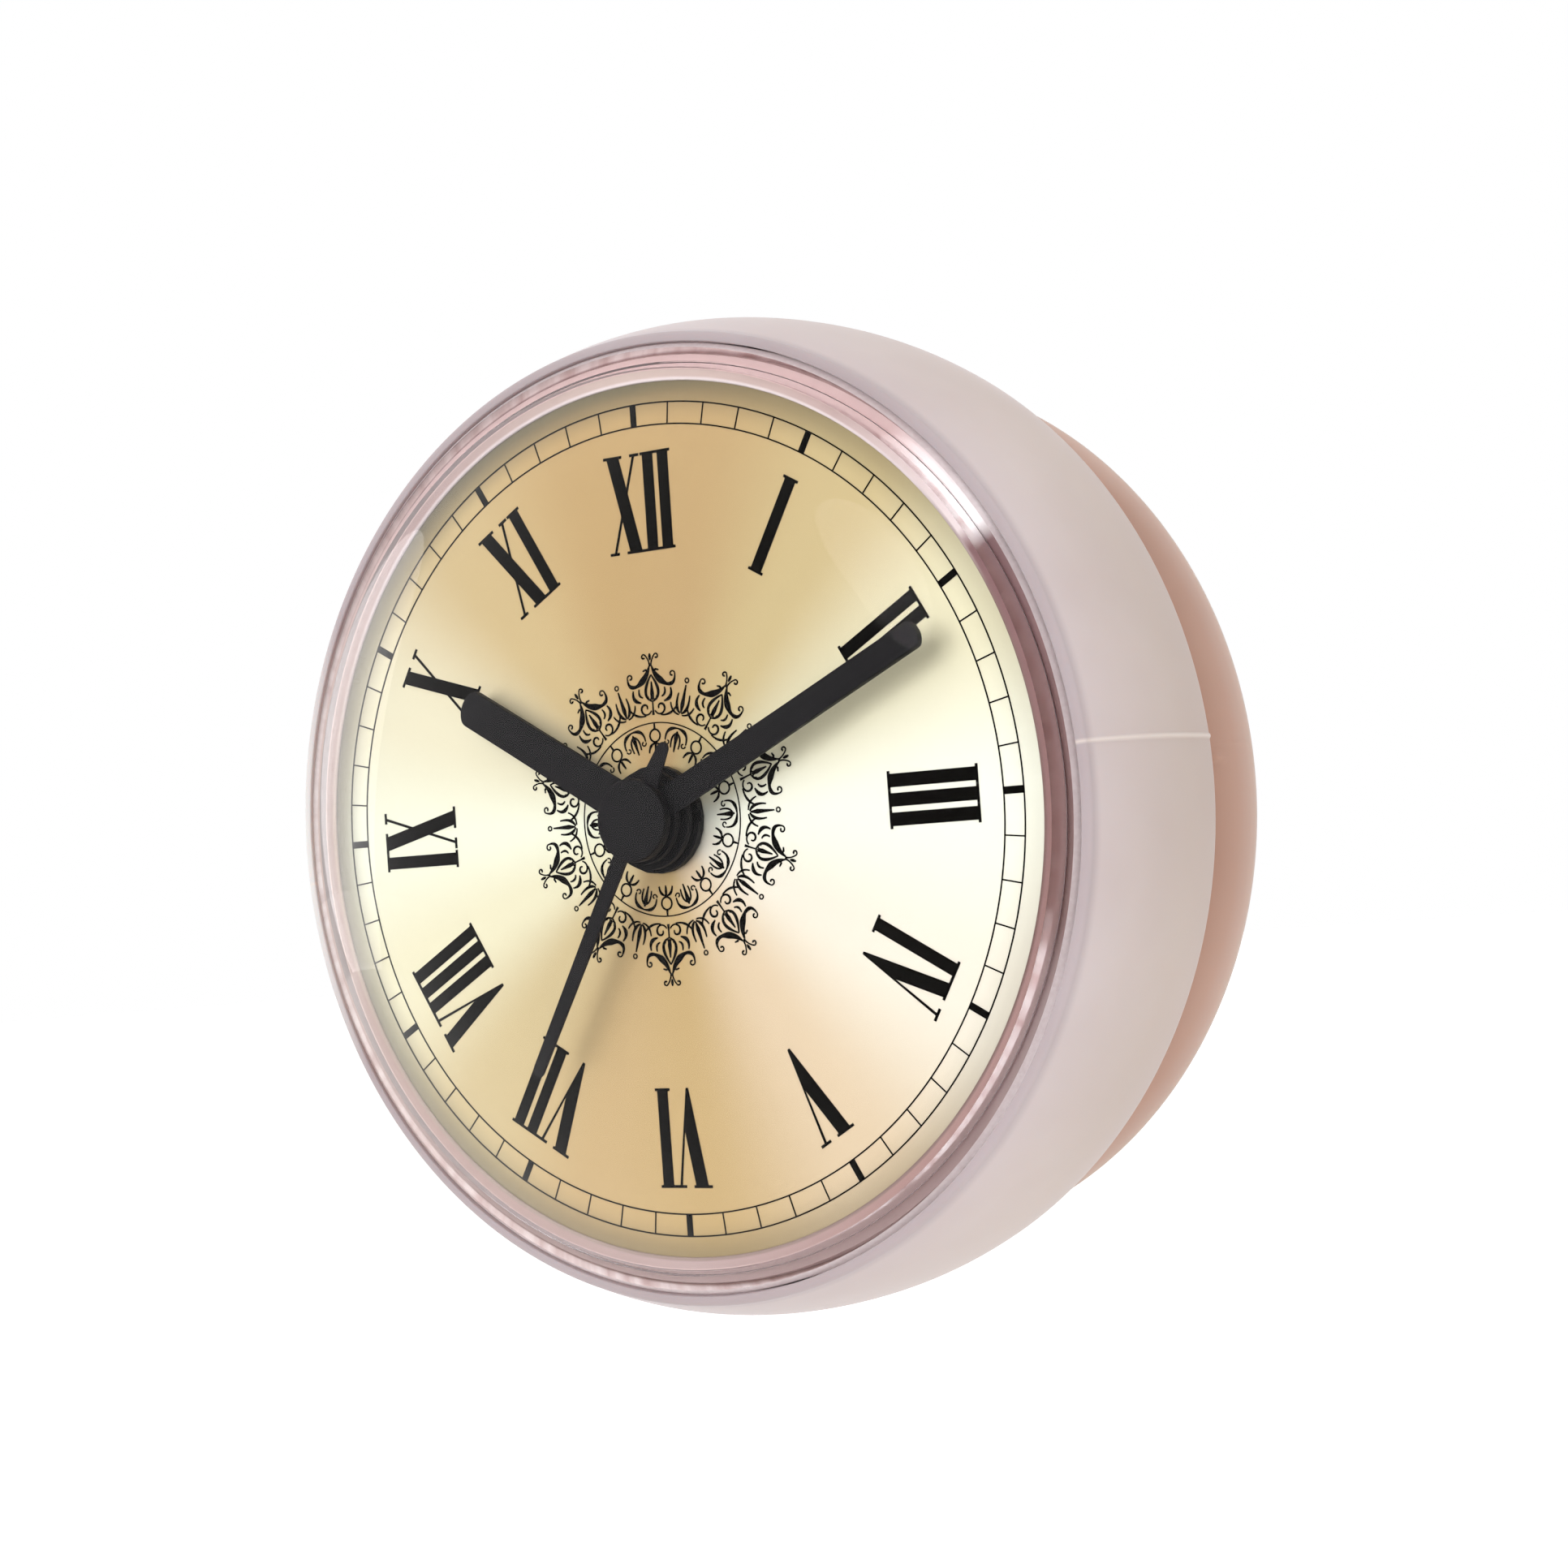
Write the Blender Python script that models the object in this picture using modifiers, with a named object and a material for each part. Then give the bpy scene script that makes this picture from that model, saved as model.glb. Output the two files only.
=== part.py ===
"""A round quartz clock that a suction cup holds on a wet wall or a mirror.

The clock core (lens, dial, hands, movement and housing) is pushed from the front into a soft silicone
case, and the case's back is the suction cup. Every height is measured from the wall outwards along the
clock's axis. An empty at the origin turns that axis, so that the clock stands on the wall plane y = 0
and faces -Y, with 12 o'clock at +Z and 3 o'clock at +X.
"""

import math

import bmesh
import bpy

# Fits between neighbouring pieces
FIT_GAP = 0.0003            # between pieces that touch
WATCH_GAP = 0.0001          # between the small pieces of the movement and the hands

# Silicone case: drum, lip and suction cup in one moulding
CORE_RADIUS = 0.0333        # lens and housing, which fill the case's pocket
DRUM_WALL = 0.0024          # silicone outside the pocket where the drum is widest
LIP_WALL = 0.00055          # silicone outside the pocket at the front edge
LIP_ROUND = 0.0005
LIP_PROUD = 0.00057         # front edge of the lip above the dial's face
SHOULDER_DROP = 0.0046      # from the lip down to where the side turns into the drum
WIDEST_DROP = 0.0107        # from the lip down to the widest place
BACK_TAPER = 0.0003         # how much narrower the drum's back edge is
BACK_ROUND = 0.0004
DRUM_BACK_HEIGHT = 0.0115   # the drum's back face above the wall
CASE_FLOOR = 0.0015         # silicone under the core
NECK_RADIUS = 0.017
NECK_LENGTH = 0.0009        # from the drum's back face to the top of the cup
CUP_RADIUS = 0.03335
CUP_RIM_THICKNESS = 0.00055
CUP_RIM_WIDTH = 0.00105     # flat ring that touches the wall
CUP_HOLLOW_DEPTH = 0.0078
CUP_CROWN_RADIUS = 0.0265   # where the cup's outside turns from top to side
CUP_CROWN_HEIGHT = 0.0066

# The movement, battery, door, knob and hands grow with the core
CORE_SHARE = CORE_RADIUS / 0.0333   # 1 at the real clock's size

# Core housing
HOUSING_BACK = 0.0016       # thickness of its back
HOUSING_SEAT_WIDTH = 0.0018
HOUSING_CHAMFER = 0.0005
REAR_SPACE = 0.0008         # between the housing's back and the movement

# Movement: case, wheels and what drives them
COVER_PLATE = 0.001
TRAIN_SPACE = 0.002         # from the cover's plate to the lowest wheel
LAYER_PITCH = 0.0009        # from one wheel to the next along the axis
WHEEL_THICKNESS = 0.0006
TRAIN_LAYERS = 6
BASE_PLATE = 0.001
MOVEMENT_HALF_WIDTH = 0.015 * CORE_SHARE
MOVEMENT_TOP = 0.015 * CORE_SHARE
MOVEMENT_BOTTOM = 0.026 * CORE_SHARE
MOVEMENT_TOP_CORNER = 0.002 * CORE_SHARE
MOVEMENT_BOTTOM_CORNER = 0.0065 * CORE_SHARE
MOVEMENT_WALL = 0.001
SKIRT_DEPTH = 0.0017
EAR_THICKNESS = 0.0012
EAR_HALF_WIDTH = 0.0024
SCREW_OFFSET = 0.0182 * CORE_SHARE
SCREW_RADIUS = 0.0007
SCREW_HEAD_RADIUS = 0.0017
SCREW_HEAD = 0.001
SCREW_LENGTH = 0.006
POST_RADIUS = 0.0022
NECK_BORE = 0.00205
NECK_OUTER = 0.0029
NECK_HEIGHT = 0.001         # above the dial's face

# Dial and lens
DIAL_THICKNESS = 0.0005
LENS_WALL = 0.002
LENS_WALL_HEIGHT = 0.0018
LENS_EDGE_HEIGHT = 0.0004   # front corner of the lens above the dial's face
LENS_RISE = 0.0054          # from that corner to the middle of the lens
LENS_THICKNESS = 0.0012     # in the middle
LENS_INNER_EDGE = 0.0002    # where the inner dome starts above the dial's face
LENS_CROWN_POWER = 5        # how flat the middle of the dome is
SEAL_THICKNESS = 0.0008
SEAL_INSET = 0.00015

# Hands: height above the dial, then the outline
HOUR_HAND_LIFT = 0.0011
HOUR_HAND_THICKNESS = 0.0005
HOUR_HAND_LENGTH = 0.0187 * CORE_SHARE
HOUR_HAND_HALF_WIDTH = 0.00135
HOUR_HAND_TIP = 0.0009      # how far the round of its tip reaches
HOUR_HUB_RADIUS = 0.0035
HOUR_HAND_ANGLE = 300.7     # clockwise from 12 at rest
MINUTE_HAND_LIFT = 0.0020
MINUTE_HAND_THICKNESS = 0.0005
MINUTE_HAND_LENGTH = 0.0257 * CORE_SHARE
MINUTE_HAND_HALF_WIDTH = 0.00095
MINUTE_HAND_TIP = 0.0006
MINUTE_HUB_RADIUS = 0.0031
MINUTE_HAND_ANGLE = 65.2
SECOND_HAND_LIFT = 0.0028
SECOND_HAND_THICKNESS = 0.0003
SECOND_HAND_LENGTH = 0.0203 * CORE_SHARE
SECOND_HAND_HALF_WIDTH = 0.00047
SECOND_TAIL_LENGTH = 0.0052 * CORE_SHARE
SECOND_CAP_RADIUS = 0.0029
SECOND_CAP_HEIGHT = 0.0008
SECOND_HAND_ANGLE = 210.4

# Arbors, from the inside out
SECONDS_ARBOR = 0.0005
MINUTE_PIPE_BORE = 0.00062
MINUTE_PIPE = 0.0011
HOUR_TUBE_BORE = 0.00135
HOUR_TUBE = 0.0019
PIVOT_POST = 0.00035
PIVOT_BORE = 0.00045
THIRD_ARBOR = 0.00045
KNOB_SHAFT = 0.0007
HAND_SEAT = 0.00005         # arbor above the top of its hand
NUT_RADIUS = 0.0038
NUT_THICKNESS = 0.0006
NUT_SLOT_WIDTH = 0.0008

# Wheel train: leaves or teeth, and the distance between arbors
SECONDS_TEETH = 48
SECONDS_LEAVES = 6
THIRD_TEETH = 45
THIRD_LEAVES = 6
CENTRE_TEETH = 48
CANNON_LEAVES = 8
MINUTE_TEETH = 24
MINUTE_LEAVES = 8
HOUR_TEETH = 32
INTERMEDIATE_TEETH = 40
INTERMEDIATE_LEAVES = 8
ROTOR_LEAVES = 8
KNOB_LEAVES = 8
THIRD_DISTANCE = 0.0085 * CORE_SHARE   # from the clock's axis
THIRD_DIRECTION = 135.0     # counter-clockwise from 3 o'clock, seen from the front
INTERMEDIATE_DISTANCE = 0.007 * CORE_SHARE
INTERMEDIATE_DIRECTION = 45.0
MINUTE_WHEEL_DISTANCE = 0.006 * CORE_SHARE
MINUTE_WHEEL_DIRECTION = 225.0
ROTOR_DISTANCE = 0.00648 * CORE_SHARE   # from the intermediate wheel
ROTOR_DIRECTION = -45.0
TOOTH_HEIGHT = 0.6          # above the pitch circle, in modules
TOOTH_DEPTH = 1.2           # below it
TOOTH_TIP = 0.12            # width of a tooth's tip, in pitches

# Setting knob
KNOB_RADIUS = 0.004 * CORE_SHARE
KNOB_RIBS = 16
KNOB_RIB_DEPTH = 0.0004
KNOB_THICKNESS = 0.0017
KNOB_HOLE_GAP = 0.0004

# Motor
MAGNET_RADIUS = 0.0024 * CORE_SHARE
MAGNET_THICKNESS = 0.0013
STATOR_THICKNESS = 0.0006
STATOR_HOLE_GAP = 0.0004
STATOR_RIM = 0.0013         # iron round the rotor's hole
COIL_RADIUS = 0.002 * CORE_SHARE
COIL_BORE = 0.0009
COIL_LENGTH = 0.011 * CORE_SHARE
COIL_END_GAP = 0.0006       # between the core bar's end and the movement's wall
COIL_MIDDLE_Z = -0.0103 * CORE_SHARE
CORE_BAR_LENGTH = 0.0148 * CORE_SHARE
CORE_BAR_WIDTH = 0.0012
CORE_BAR_THICKNESS = 0.001

# Electronics and battery
CELL_RADIUS = 0.0058 * CORE_SHARE
CELL_THICKNESS = 0.0054
CELL_CAP_RADIUS = 0.0049 * CORE_SHARE
CELL_CAP_HEIGHT = 0.0005
CELL_MIDDLE_Z = -0.0185 * CORE_SHARE
BOARD_THICKNESS = 0.0006
BOARD_ABOVE_CELL = 0.0055 * CORE_SHARE   # from the cell's middle up to the board's upper edge
BOARD_BELOW_CELL = 0.0037 * CORE_SHARE
BOARD_MARGIN = 0.0006
BOARD_POST_RADIUS = 0.0007
CHIP_RADIUS = 0.0017 * CORE_SHARE
CHIP_HEIGHT = 0.0007
CRYSTAL_RADIUS = 0.00095
CRYSTAL_LENGTH = 0.006 * CORE_SHARE
CONTACT_THICKNESS = 0.0003
CONTACT_POSITIVE_WIDTH = 0.004 * CORE_SHARE
CONTACT_ARM_WIDTH = 0.0015
CONTACT_TONGUE_WIDTH = 0.0024 * CORE_SHARE
CONTACT_BUTTON_RADIUS = 0.001
CONTACT_OVERLAP = 0.0023 * CORE_SHARE   # how far the negative contact lies over the board

# Battery door
DOOR_RADIUS = 0.008 * CORE_SHARE
DOOR_FLANGE = 0.0004
DOOR_BOSS_RADIUS = 0.0069 * CORE_SHARE
DOOR_RECESS_DEPTH = 0.001
DOOR_LUG_WIDTH = 0.0026
DOOR_LUG_THICKNESS = 0.0004
DOOR_UNLOCK_ANGLE = 60.0     # counter-clockwise, seen from behind
DOOR_SEAL_THICKNESS = 0.0003
COIN_SLOT_LENGTH = 0.009 * CORE_SHARE
COIN_SLOT_WIDTH = 0.0016
COIN_SLOT_DEPTH = 0.0006

# How finely round shapes are cut
CASE_STEPS = 56
LENS_STEPS = 48
HOUSING_STEPS = 48
SMALL_STEPS = 24
TINY_STEPS = 12

# Heights that follow, from the wall outwards
POCKET_FLOOR = DRUM_BACK_HEIGHT + CASE_FLOOR
HOUSING_REAR = POCKET_FLOOR + FIT_GAP
HOUSING_FLOOR = HOUSING_REAR + HOUSING_BACK
COVER_REAR = HOUSING_FLOOR + REAR_SPACE
COVER_FLOOR = COVER_REAR + COVER_PLATE
TRAIN_BASE = COVER_FLOOR + TRAIN_SPACE
BASE_UNDERSIDE = TRAIN_BASE + TRAIN_LAYERS * LAYER_PITCH
BASE_FACE = BASE_UNDERSIDE + BASE_PLATE
DIAL_BACK = BASE_FACE + FIT_GAP
DIAL_FACE = DIAL_BACK + DIAL_THICKNESS
LIP_FRONT = DIAL_FACE + LIP_PROUD
LENS_CORNER = DIAL_FACE + LENS_EDGE_HEIGHT
LENS_FOOT = LENS_CORNER - LENS_WALL_HEIGHT
SEAL_TOP = LENS_FOOT - FIT_GAP
SEAL_BOTTOM = SEAL_TOP - SEAL_THICKNESS
HOUSING_LAND = SEAL_BOTTOM - FIT_GAP
SKIRT_END = BASE_UNDERSIDE - SKIRT_DEPTH
EAR_TOP = SKIRT_END + EAR_THICKNESS

# Radii that follow
POCKET_RADIUS = CORE_RADIUS + FIT_GAP
DRUM_RADIUS = POCKET_RADIUS + DRUM_WALL
LENS_INNER = CORE_RADIUS - LENS_WALL
DIAL_RADIUS = LENS_INNER - FIT_GAP
HOUSING_INNER = DIAL_RADIUS - HOUSING_SEAT_WIDTH


def polar(distance, degrees):
    """The point at a distance and direction from the clock's axis, seen from the front."""
    angle = math.radians(degrees)
    return (distance * math.cos(angle), distance * math.sin(angle))


AXIS = (0.0, 0.0)
THIRD_PLACE = polar(THIRD_DISTANCE, THIRD_DIRECTION)
INTERMEDIATE_PLACE = polar(INTERMEDIATE_DISTANCE, INTERMEDIATE_DIRECTION)
MINUTE_WHEEL_PLACE = polar(MINUTE_WHEEL_DISTANCE, MINUTE_WHEEL_DIRECTION)
KNOB_PLACE = polar(2 * MINUTE_WHEEL_DISTANCE, MINUTE_WHEEL_DIRECTION)
ROTOR_STEP = polar(ROTOR_DISTANCE, ROTOR_DIRECTION)
ROTOR_PLACE = (INTERMEDIATE_PLACE[0] + ROTOR_STEP[0], INTERMEDIATE_PLACE[1] + ROTOR_STEP[1])
CELL_PLACE = (0.0, CELL_MIDDLE_Z)
CORE_BAR_RIGHT = MOVEMENT_HALF_WIDTH - MOVEMENT_WALL - COIL_END_GAP
COIL_MIDDLE_X = CORE_BAR_RIGHT - CORE_BAR_LENGTH / 2

# Edges of the circuit board, between the movement's wall and the positive contact
BOARD_WALL_GAP = MOVEMENT_WALL + FIT_GAP
BOARD_LEFT = BOARD_WALL_GAP - MOVEMENT_HALF_WIDTH
BOARD_RIGHT = -CELL_RADIUS - CONTACT_THICKNESS - 2 * FIT_GAP
BOARD_TOP_Z = CELL_MIDDLE_Z + BOARD_ABOVE_CELL
BOARD_LOW_Z = CELL_MIDDLE_Z - BOARD_BELOW_CELL
BOARD_CORNER_Z = MOVEMENT_BOTTOM_CORNER - MOVEMENT_BOTTOM + BOARD_WALL_GAP * (math.sqrt(2) - 1)
BOARD_POST_UPPER = (BOARD_LEFT + 2 * BOARD_POST_RADIUS, BOARD_TOP_Z - 2 * BOARD_POST_RADIUS)
BOARD_POST_LOWER = (BOARD_RIGHT - 4 * BOARD_POST_RADIUS, BOARD_LOW_Z + 2 * BOARD_POST_RADIUS)


# Scene set-up

def clear_scene():
    for item in list(bpy.data.objects):
        bpy.data.objects.remove(item)


def new_collection(name):
    collection = bpy.data.collections.new(name)
    bpy.context.scene.collection.children.link(collection)
    return collection


clear_scene()
PARTS = new_collection("suction_clock")
CUTTERS = new_collection("cutters")
WALL_FRAME = bpy.data.objects.new("wall_frame", None)
WALL_FRAME.rotation_euler = (math.pi / 2, 0.0, 0.0)
PARTS.objects.link(WALL_FRAME)


def material(name, colour, roughness, metallic=0.0):
    surface = bpy.data.materials.new(name)
    surface.use_nodes = True
    shader = surface.node_tree.nodes["Principled BSDF"]
    shader.inputs["Base Color"].default_value = (*colour, 1.0)
    shader.inputs["Roughness"].default_value = roughness
    shader.inputs["Metallic"].default_value = metallic
    return surface


SILICONE = material("pink_silicone", (0.66, 0.56, 0.52), 0.5)
CLEAR_PLASTIC = material("clear_plastic", (0.85, 0.82, 0.80), 0.05)
GOLD_PLATE = material("brushed_gold_plate", (0.72, 0.55, 0.30), 0.35, 0.8)
BLACK_METAL = material("black_enamel", (0.02, 0.02, 0.022), 0.5)
MAUVE_PLASTIC = material("mauve_plastic", (0.40, 0.26, 0.24), 0.4)
BLACK_PLASTIC = material("black_plastic", (0.03, 0.03, 0.03), 0.5)
WHITE_PLASTIC = material("white_plastic", (0.8, 0.8, 0.78), 0.4)
BLACK_RUBBER = material("black_rubber", (0.03, 0.03, 0.03), 0.8)
STEEL = material("steel", (0.55, 0.55, 0.56), 0.3, 1.0)
SOFT_IRON = material("soft_iron", (0.35, 0.35, 0.36), 0.45, 1.0)
COPPER = material("copper_wire", (0.72, 0.35, 0.18), 0.35, 1.0)
GREEN_BOARD = material("circuit_board", (0.05, 0.25, 0.10), 0.5)
MAGNET = material("magnet", (0.18, 0.18, 0.19), 0.4, 0.6)


# Ways of making a shape

def place_object(name, data, surface, place, height=0.0, turn=0.0):
    """Puts mesh or curve data on the wall frame and gives it its material."""
    piece = bpy.data.objects.new(name, data)
    piece.parent = WALL_FRAME
    piece.location = (place[0], place[1], height)
    piece.rotation_euler = (0.0, 0.0, math.radians(turn))
    data.materials.append(surface)
    PARTS.objects.link(piece)
    return piece


def turned(name, surface, profile, steps, place=AXIS):
    """A solid of revolution. The profile of (radius, height) points runs down its outer side."""
    closed = profile[0][0] > 0.0
    mesh = bpy.data.meshes.new(name)
    points = [(radius, 0.0, height) for radius, height in profile]
    edges = [(i, i + 1) for i in range(len(points) - 1)]
    if closed:
        edges.append((len(points) - 1, 0))
    mesh.from_pydata(points, edges, [])
    piece = place_object(name, mesh, surface, place)
    screw = piece.modifiers.new("turn", "SCREW")
    screw.axis = "Z"
    screw.steps = steps
    screw.render_steps = steps
    screw.use_merge_vertices = True
    screw.merge_threshold = 0.000001
    screw.use_smooth_shade = True
    return piece


def circle(radius, steps, centre=AXIS):
    points = []
    for i in range(steps):
        angle = math.tau * i / steps
        points.append((centre[0] + radius * math.cos(angle), centre[1] + radius * math.sin(angle)))
    return points


def plate(name, surface, outlines, low, high, place=AXIS, turn=0.0):
    """A flat piece between two heights. The first outline is its edge and the others are holes."""
    curve = bpy.data.curves.new(name, "CURVE")
    curve.dimensions = "2D"
    curve.fill_mode = "BOTH"
    curve.extrude = (high - low) / 2
    for outline in outlines:
        spline = curve.splines.new("POLY")
        spline.points.add(len(outline) - 1)
        for point, (x, y) in zip(spline.points, outline):
            point.co = (x, y, 0.0, 1.0)
        spline.use_cyclic_u = True
    outline_object = bpy.data.objects.new(name + "_outline", curve)
    PARTS.objects.link(outline_object)
    bpy.context.view_layer.update()
    evaluated = outline_object.evaluated_get(bpy.context.evaluated_depsgraph_get())
    mesh = bpy.data.meshes.new_from_object(evaluated)
    bpy.data.objects.remove(outline_object)
    bpy.data.curves.remove(curve)
    weld(mesh)
    return place_object(name, mesh, surface, place, (low + high) / 2, turn)


def weld(mesh):
    work = bmesh.new()
    work.from_mesh(mesh)
    bmesh.ops.remove_doubles(work, verts=work.verts, dist=0.000001)
    bmesh.ops.recalc_face_normals(work, faces=work.faces)
    work.to_mesh(mesh)
    work.free()


def rod(name, surface, radius, low, high, place=AXIS, steps=TINY_STEPS):
    """A round bar along the clock's axis."""
    mesh = bpy.data.meshes.new(name)
    work = bmesh.new()
    bmesh.ops.create_cone(
        work, cap_ends=True, segments=steps, radius1=radius, radius2=radius, depth=high - low
    )
    work.to_mesh(mesh)
    work.free()
    return place_object(name, mesh, surface, place, (low + high) / 2)


def block(name, surface, size, place, low, high, turn=0.0):
    """A box with a size across the axis and two heights."""
    mesh = bpy.data.meshes.new(name)
    work = bmesh.new()
    bmesh.ops.create_cube(work, size=1.0)
    bmesh.ops.scale(work, vec=(size[0], size[1], high - low), verts=work.verts)
    work.to_mesh(mesh)
    work.free()
    return place_object(name, mesh, surface, place, (low + high) / 2, turn)


def combine(piece, tool, operation):
    """Joins or cuts a piece with a tool, which becomes a guide."""
    PARTS.objects.unlink(tool)
    CUTTERS.objects.link(tool)
    tool.hide_render = True
    tool.display_type = "WIRE"
    boolean = piece.modifiers.new(tool.name, "BOOLEAN")
    boolean.operation = operation
    boolean.object = tool


def join(piece, tool):
    combine(piece, tool, "UNION")


def cut(piece, tool):
    combine(piece, tool, "DIFFERENCE")


def bow(start, corner, end, steps):
    """Points of a curve that leaves start towards corner and arrives at end from it, without start."""
    points = []
    for i in range(1, steps + 1):
        t = i / steps
        points.append(tuple(
            (1 - t) ** 2 * a + 2 * t * (1 - t) * b + t * t * c for a, b, c in zip(start, corner, end)
        ))
    return points


def layer(number):
    """The height of a wheel's underside, counted from the lowest wheel."""
    return TRAIN_BASE + number * LAYER_PITCH


# Wheel teeth

def pitch_radius(distance, own, other):
    return distance * own / (own + other)


def gear_outline(radius, teeth, phase):
    """A toothed edge with its pitch circle's radius, and one tooth at the phase angle."""
    module = 2 * radius / teeth
    pitch = math.tau / teeth
    outline = []
    for tooth in range(teeth):
        middle = phase + tooth * pitch
        for offset, distance in (
            (-0.5, radius - TOOTH_DEPTH * module),
            (-TOOTH_TIP / 2, radius + TOOTH_HEIGHT * module),
            (TOOTH_TIP / 2, radius + TOOTH_HEIGHT * module),
        ):
            angle = middle + offset * pitch
            outline.append((distance * math.cos(angle), distance * math.sin(angle)))
    return outline


def meshed_phase(phase, teeth, other_teeth, direction):
    """The phase of a second wheel that lies in a direction from the first and is in mesh with it."""
    angle = math.radians(direction)
    offset = (phase - angle) * teeth / math.tau
    return angle + math.pi - (offset + 0.5) * math.tau / other_teeth


def wheel(name, surface, radius, teeth, phase, number, place=AXIS):
    low = layer(number)
    return plate(name, surface, [gear_outline(radius, teeth, phase)], low, low + WHEEL_THICKNESS, place)


def add_pinion(piece, radius, leaves, phase, low, high, place=AXIS):
    leaf_edge = gear_outline(radius, leaves, phase)
    join(piece, plate(piece.name + "_leaves", piece.data.materials[0], [leaf_edge], low, high, place))


def add_rod(piece, label, radius, low, high, place=AXIS, steps=TINY_STEPS):
    join(piece, rod(piece.name + "_" + label, piece.data.materials[0], radius, low, high, place, steps))


def cut_hole(piece, label, radius, low, high, place=AXIS, steps=TINY_STEPS):
    cut(piece, rod(piece.name + "_" + label, piece.data.materials[0], radius, low, high, place, steps))


# Case

def silicone_case():
    """Soft drum with a round lip in front and the suction cup behind, moulded in one."""
    lip_radius = POCKET_RADIUS + LIP_WALL
    lip_round = min(LIP_ROUND, 0.9 * LIP_WALL)
    back_radius = DRUM_RADIUS - BACK_TAPER
    cup_top = DRUM_BACK_HEIGHT - NECK_LENGTH
    cup_inner = CUP_RADIUS - CUP_RIM_WIDTH
    lip_edge = (lip_radius, LIP_FRONT - lip_round)
    widest = (DRUM_RADIUS, LIP_FRONT - WIDEST_DROP)
    back_edge = (back_radius, DRUM_BACK_HEIGHT + BACK_ROUND)
    back_corner = (back_radius, DRUM_BACK_HEIGHT)
    rim_top = (CUP_RADIUS, CUP_RIM_THICKNESS)
    profile = [
        (0.0, POCKET_FLOOR),
        (POCKET_RADIUS, POCKET_FLOOR),
        (POCKET_RADIUS, LIP_FRONT),
        (lip_radius - lip_round, LIP_FRONT),
    ]
    profile += bow(profile[-1], (lip_radius, LIP_FRONT), lip_edge, 3)
    profile += bow(lip_edge, (DRUM_RADIUS, LIP_FRONT - SHOULDER_DROP), widest, 6)
    profile.append(back_edge)
    profile += bow(back_edge, back_corner, (back_radius - BACK_ROUND, DRUM_BACK_HEIGHT), 2)
    profile.append((NECK_RADIUS, DRUM_BACK_HEIGHT))
    profile.append((NECK_RADIUS, cup_top))
    profile += bow((NECK_RADIUS, cup_top), (CUP_CROWN_RADIUS, CUP_CROWN_HEIGHT), rim_top, 6)
    profile.append((CUP_RADIUS, 0.0))
    for share in (1.0, 0.85, 0.68, 0.46, 0.23, 0.0):
        profile.append((cup_inner * share, CUP_HOLLOW_DEPTH * (1 - share ** 2)))
    return turned("silicone_case", SILICONE, profile, CASE_STEPS)


# Core

def core_housing():
    """Rigid cup that carries the lens, the dial and the movement, with the battery hole in its back."""
    profile = [
        (0.0, HOUSING_FLOOR),
        (HOUSING_INNER, HOUSING_FLOOR),
        (HOUSING_INNER, BASE_FACE),
        (DIAL_RADIUS, BASE_FACE),
        (DIAL_RADIUS, HOUSING_LAND),
        (CORE_RADIUS, HOUSING_LAND),
        (CORE_RADIUS, HOUSING_REAR + HOUSING_CHAMFER),
        (CORE_RADIUS - HOUSING_CHAMFER, HOUSING_REAR),
        (0.0, HOUSING_REAR),
    ]
    housing = turned("core_housing", MAUVE_PLASTIC, profile, HOUSING_STEPS)
    recess = DOOR_RADIUS + FIT_GAP
    ledge = DOOR_BOSS_RADIUS + 2 * WATCH_GAP
    ledge_bottom = HOUSING_REAR + DOOR_RECESS_DEPTH
    cut_hole(housing, "door_recess", recess, HOUSING_REAR - FIT_GAP, ledge_bottom, CELL_PLACE, SMALL_STEPS)
    cut_hole(housing, "battery_hole", ledge, HOUSING_REAR, HOUSING_FLOOR + FIT_GAP, CELL_PLACE, SMALL_STEPS)
    notch = (2 * recess, DOOR_LUG_WIDTH + 2 * FIT_GAP)
    cut(housing, block(
        "core_housing_lug_notches", MAUVE_PLASTIC, notch, CELL_PLACE,
        ledge_bottom - FIT_GAP, HOUSING_FLOOR + FIT_GAP, -DOOR_UNLOCK_ANGLE,
    ))
    cut_hole(
        housing, "knob_hole", KNOB_RADIUS + KNOB_HOLE_GAP, HOUSING_REAR - FIT_GAP, HOUSING_FLOOR + FIT_GAP,
        KNOB_PLACE, SMALL_STEPS,
    )
    for side in (-1, 1):
        place = (side * SCREW_OFFSET, 0.0)
        label = "post_left" if side < 0 else "post_right"
        post_top = SKIRT_END - FIT_GAP
        add_rod(housing, label, POST_RADIUS, HOUSING_FLOOR - FIT_GAP, post_top, place)
        hole_bottom = EAR_TOP - SCREW_LENGTH - FIT_GAP
        cut_hole(housing, label + "_hole", SCREW_RADIUS + WATCH_GAP, hole_bottom, post_top + FIT_GAP, place)
    return housing


def lens():
    """Clear cap: a shallow crowned dome with a thick side wall that slips over the dial's seat."""
    def dome(radius, edge, height, rise):
        shares = (0.0, 0.35, 0.55, 0.7, 0.82, 0.92, 1.0)
        return [(radius * s, height + rise * (1 - s ** LENS_CROWN_POWER)) for s in shares if s <= edge]

    inner_edge = DIAL_FACE + LENS_INNER_EDGE
    inner_rise = LENS_CORNER + LENS_RISE - LENS_THICKNESS - inner_edge
    profile = dome(CORE_RADIUS, 1.0, LENS_CORNER, LENS_RISE)
    profile.append((CORE_RADIUS, LENS_FOOT))
    profile.append((LENS_INNER, LENS_FOOT))
    profile += reversed(dome(LENS_INNER, 1.0, inner_edge, inner_rise))
    return turned("lens", CLEAR_PLASTIC, profile, LENS_STEPS)


def ring(name, surface, inner, outer, low, high, steps, place=AXIS):
    profile = [(outer, high), (outer, low), (inner, low), (inner, high)]
    return turned(name, surface, profile, steps, place)


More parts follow.
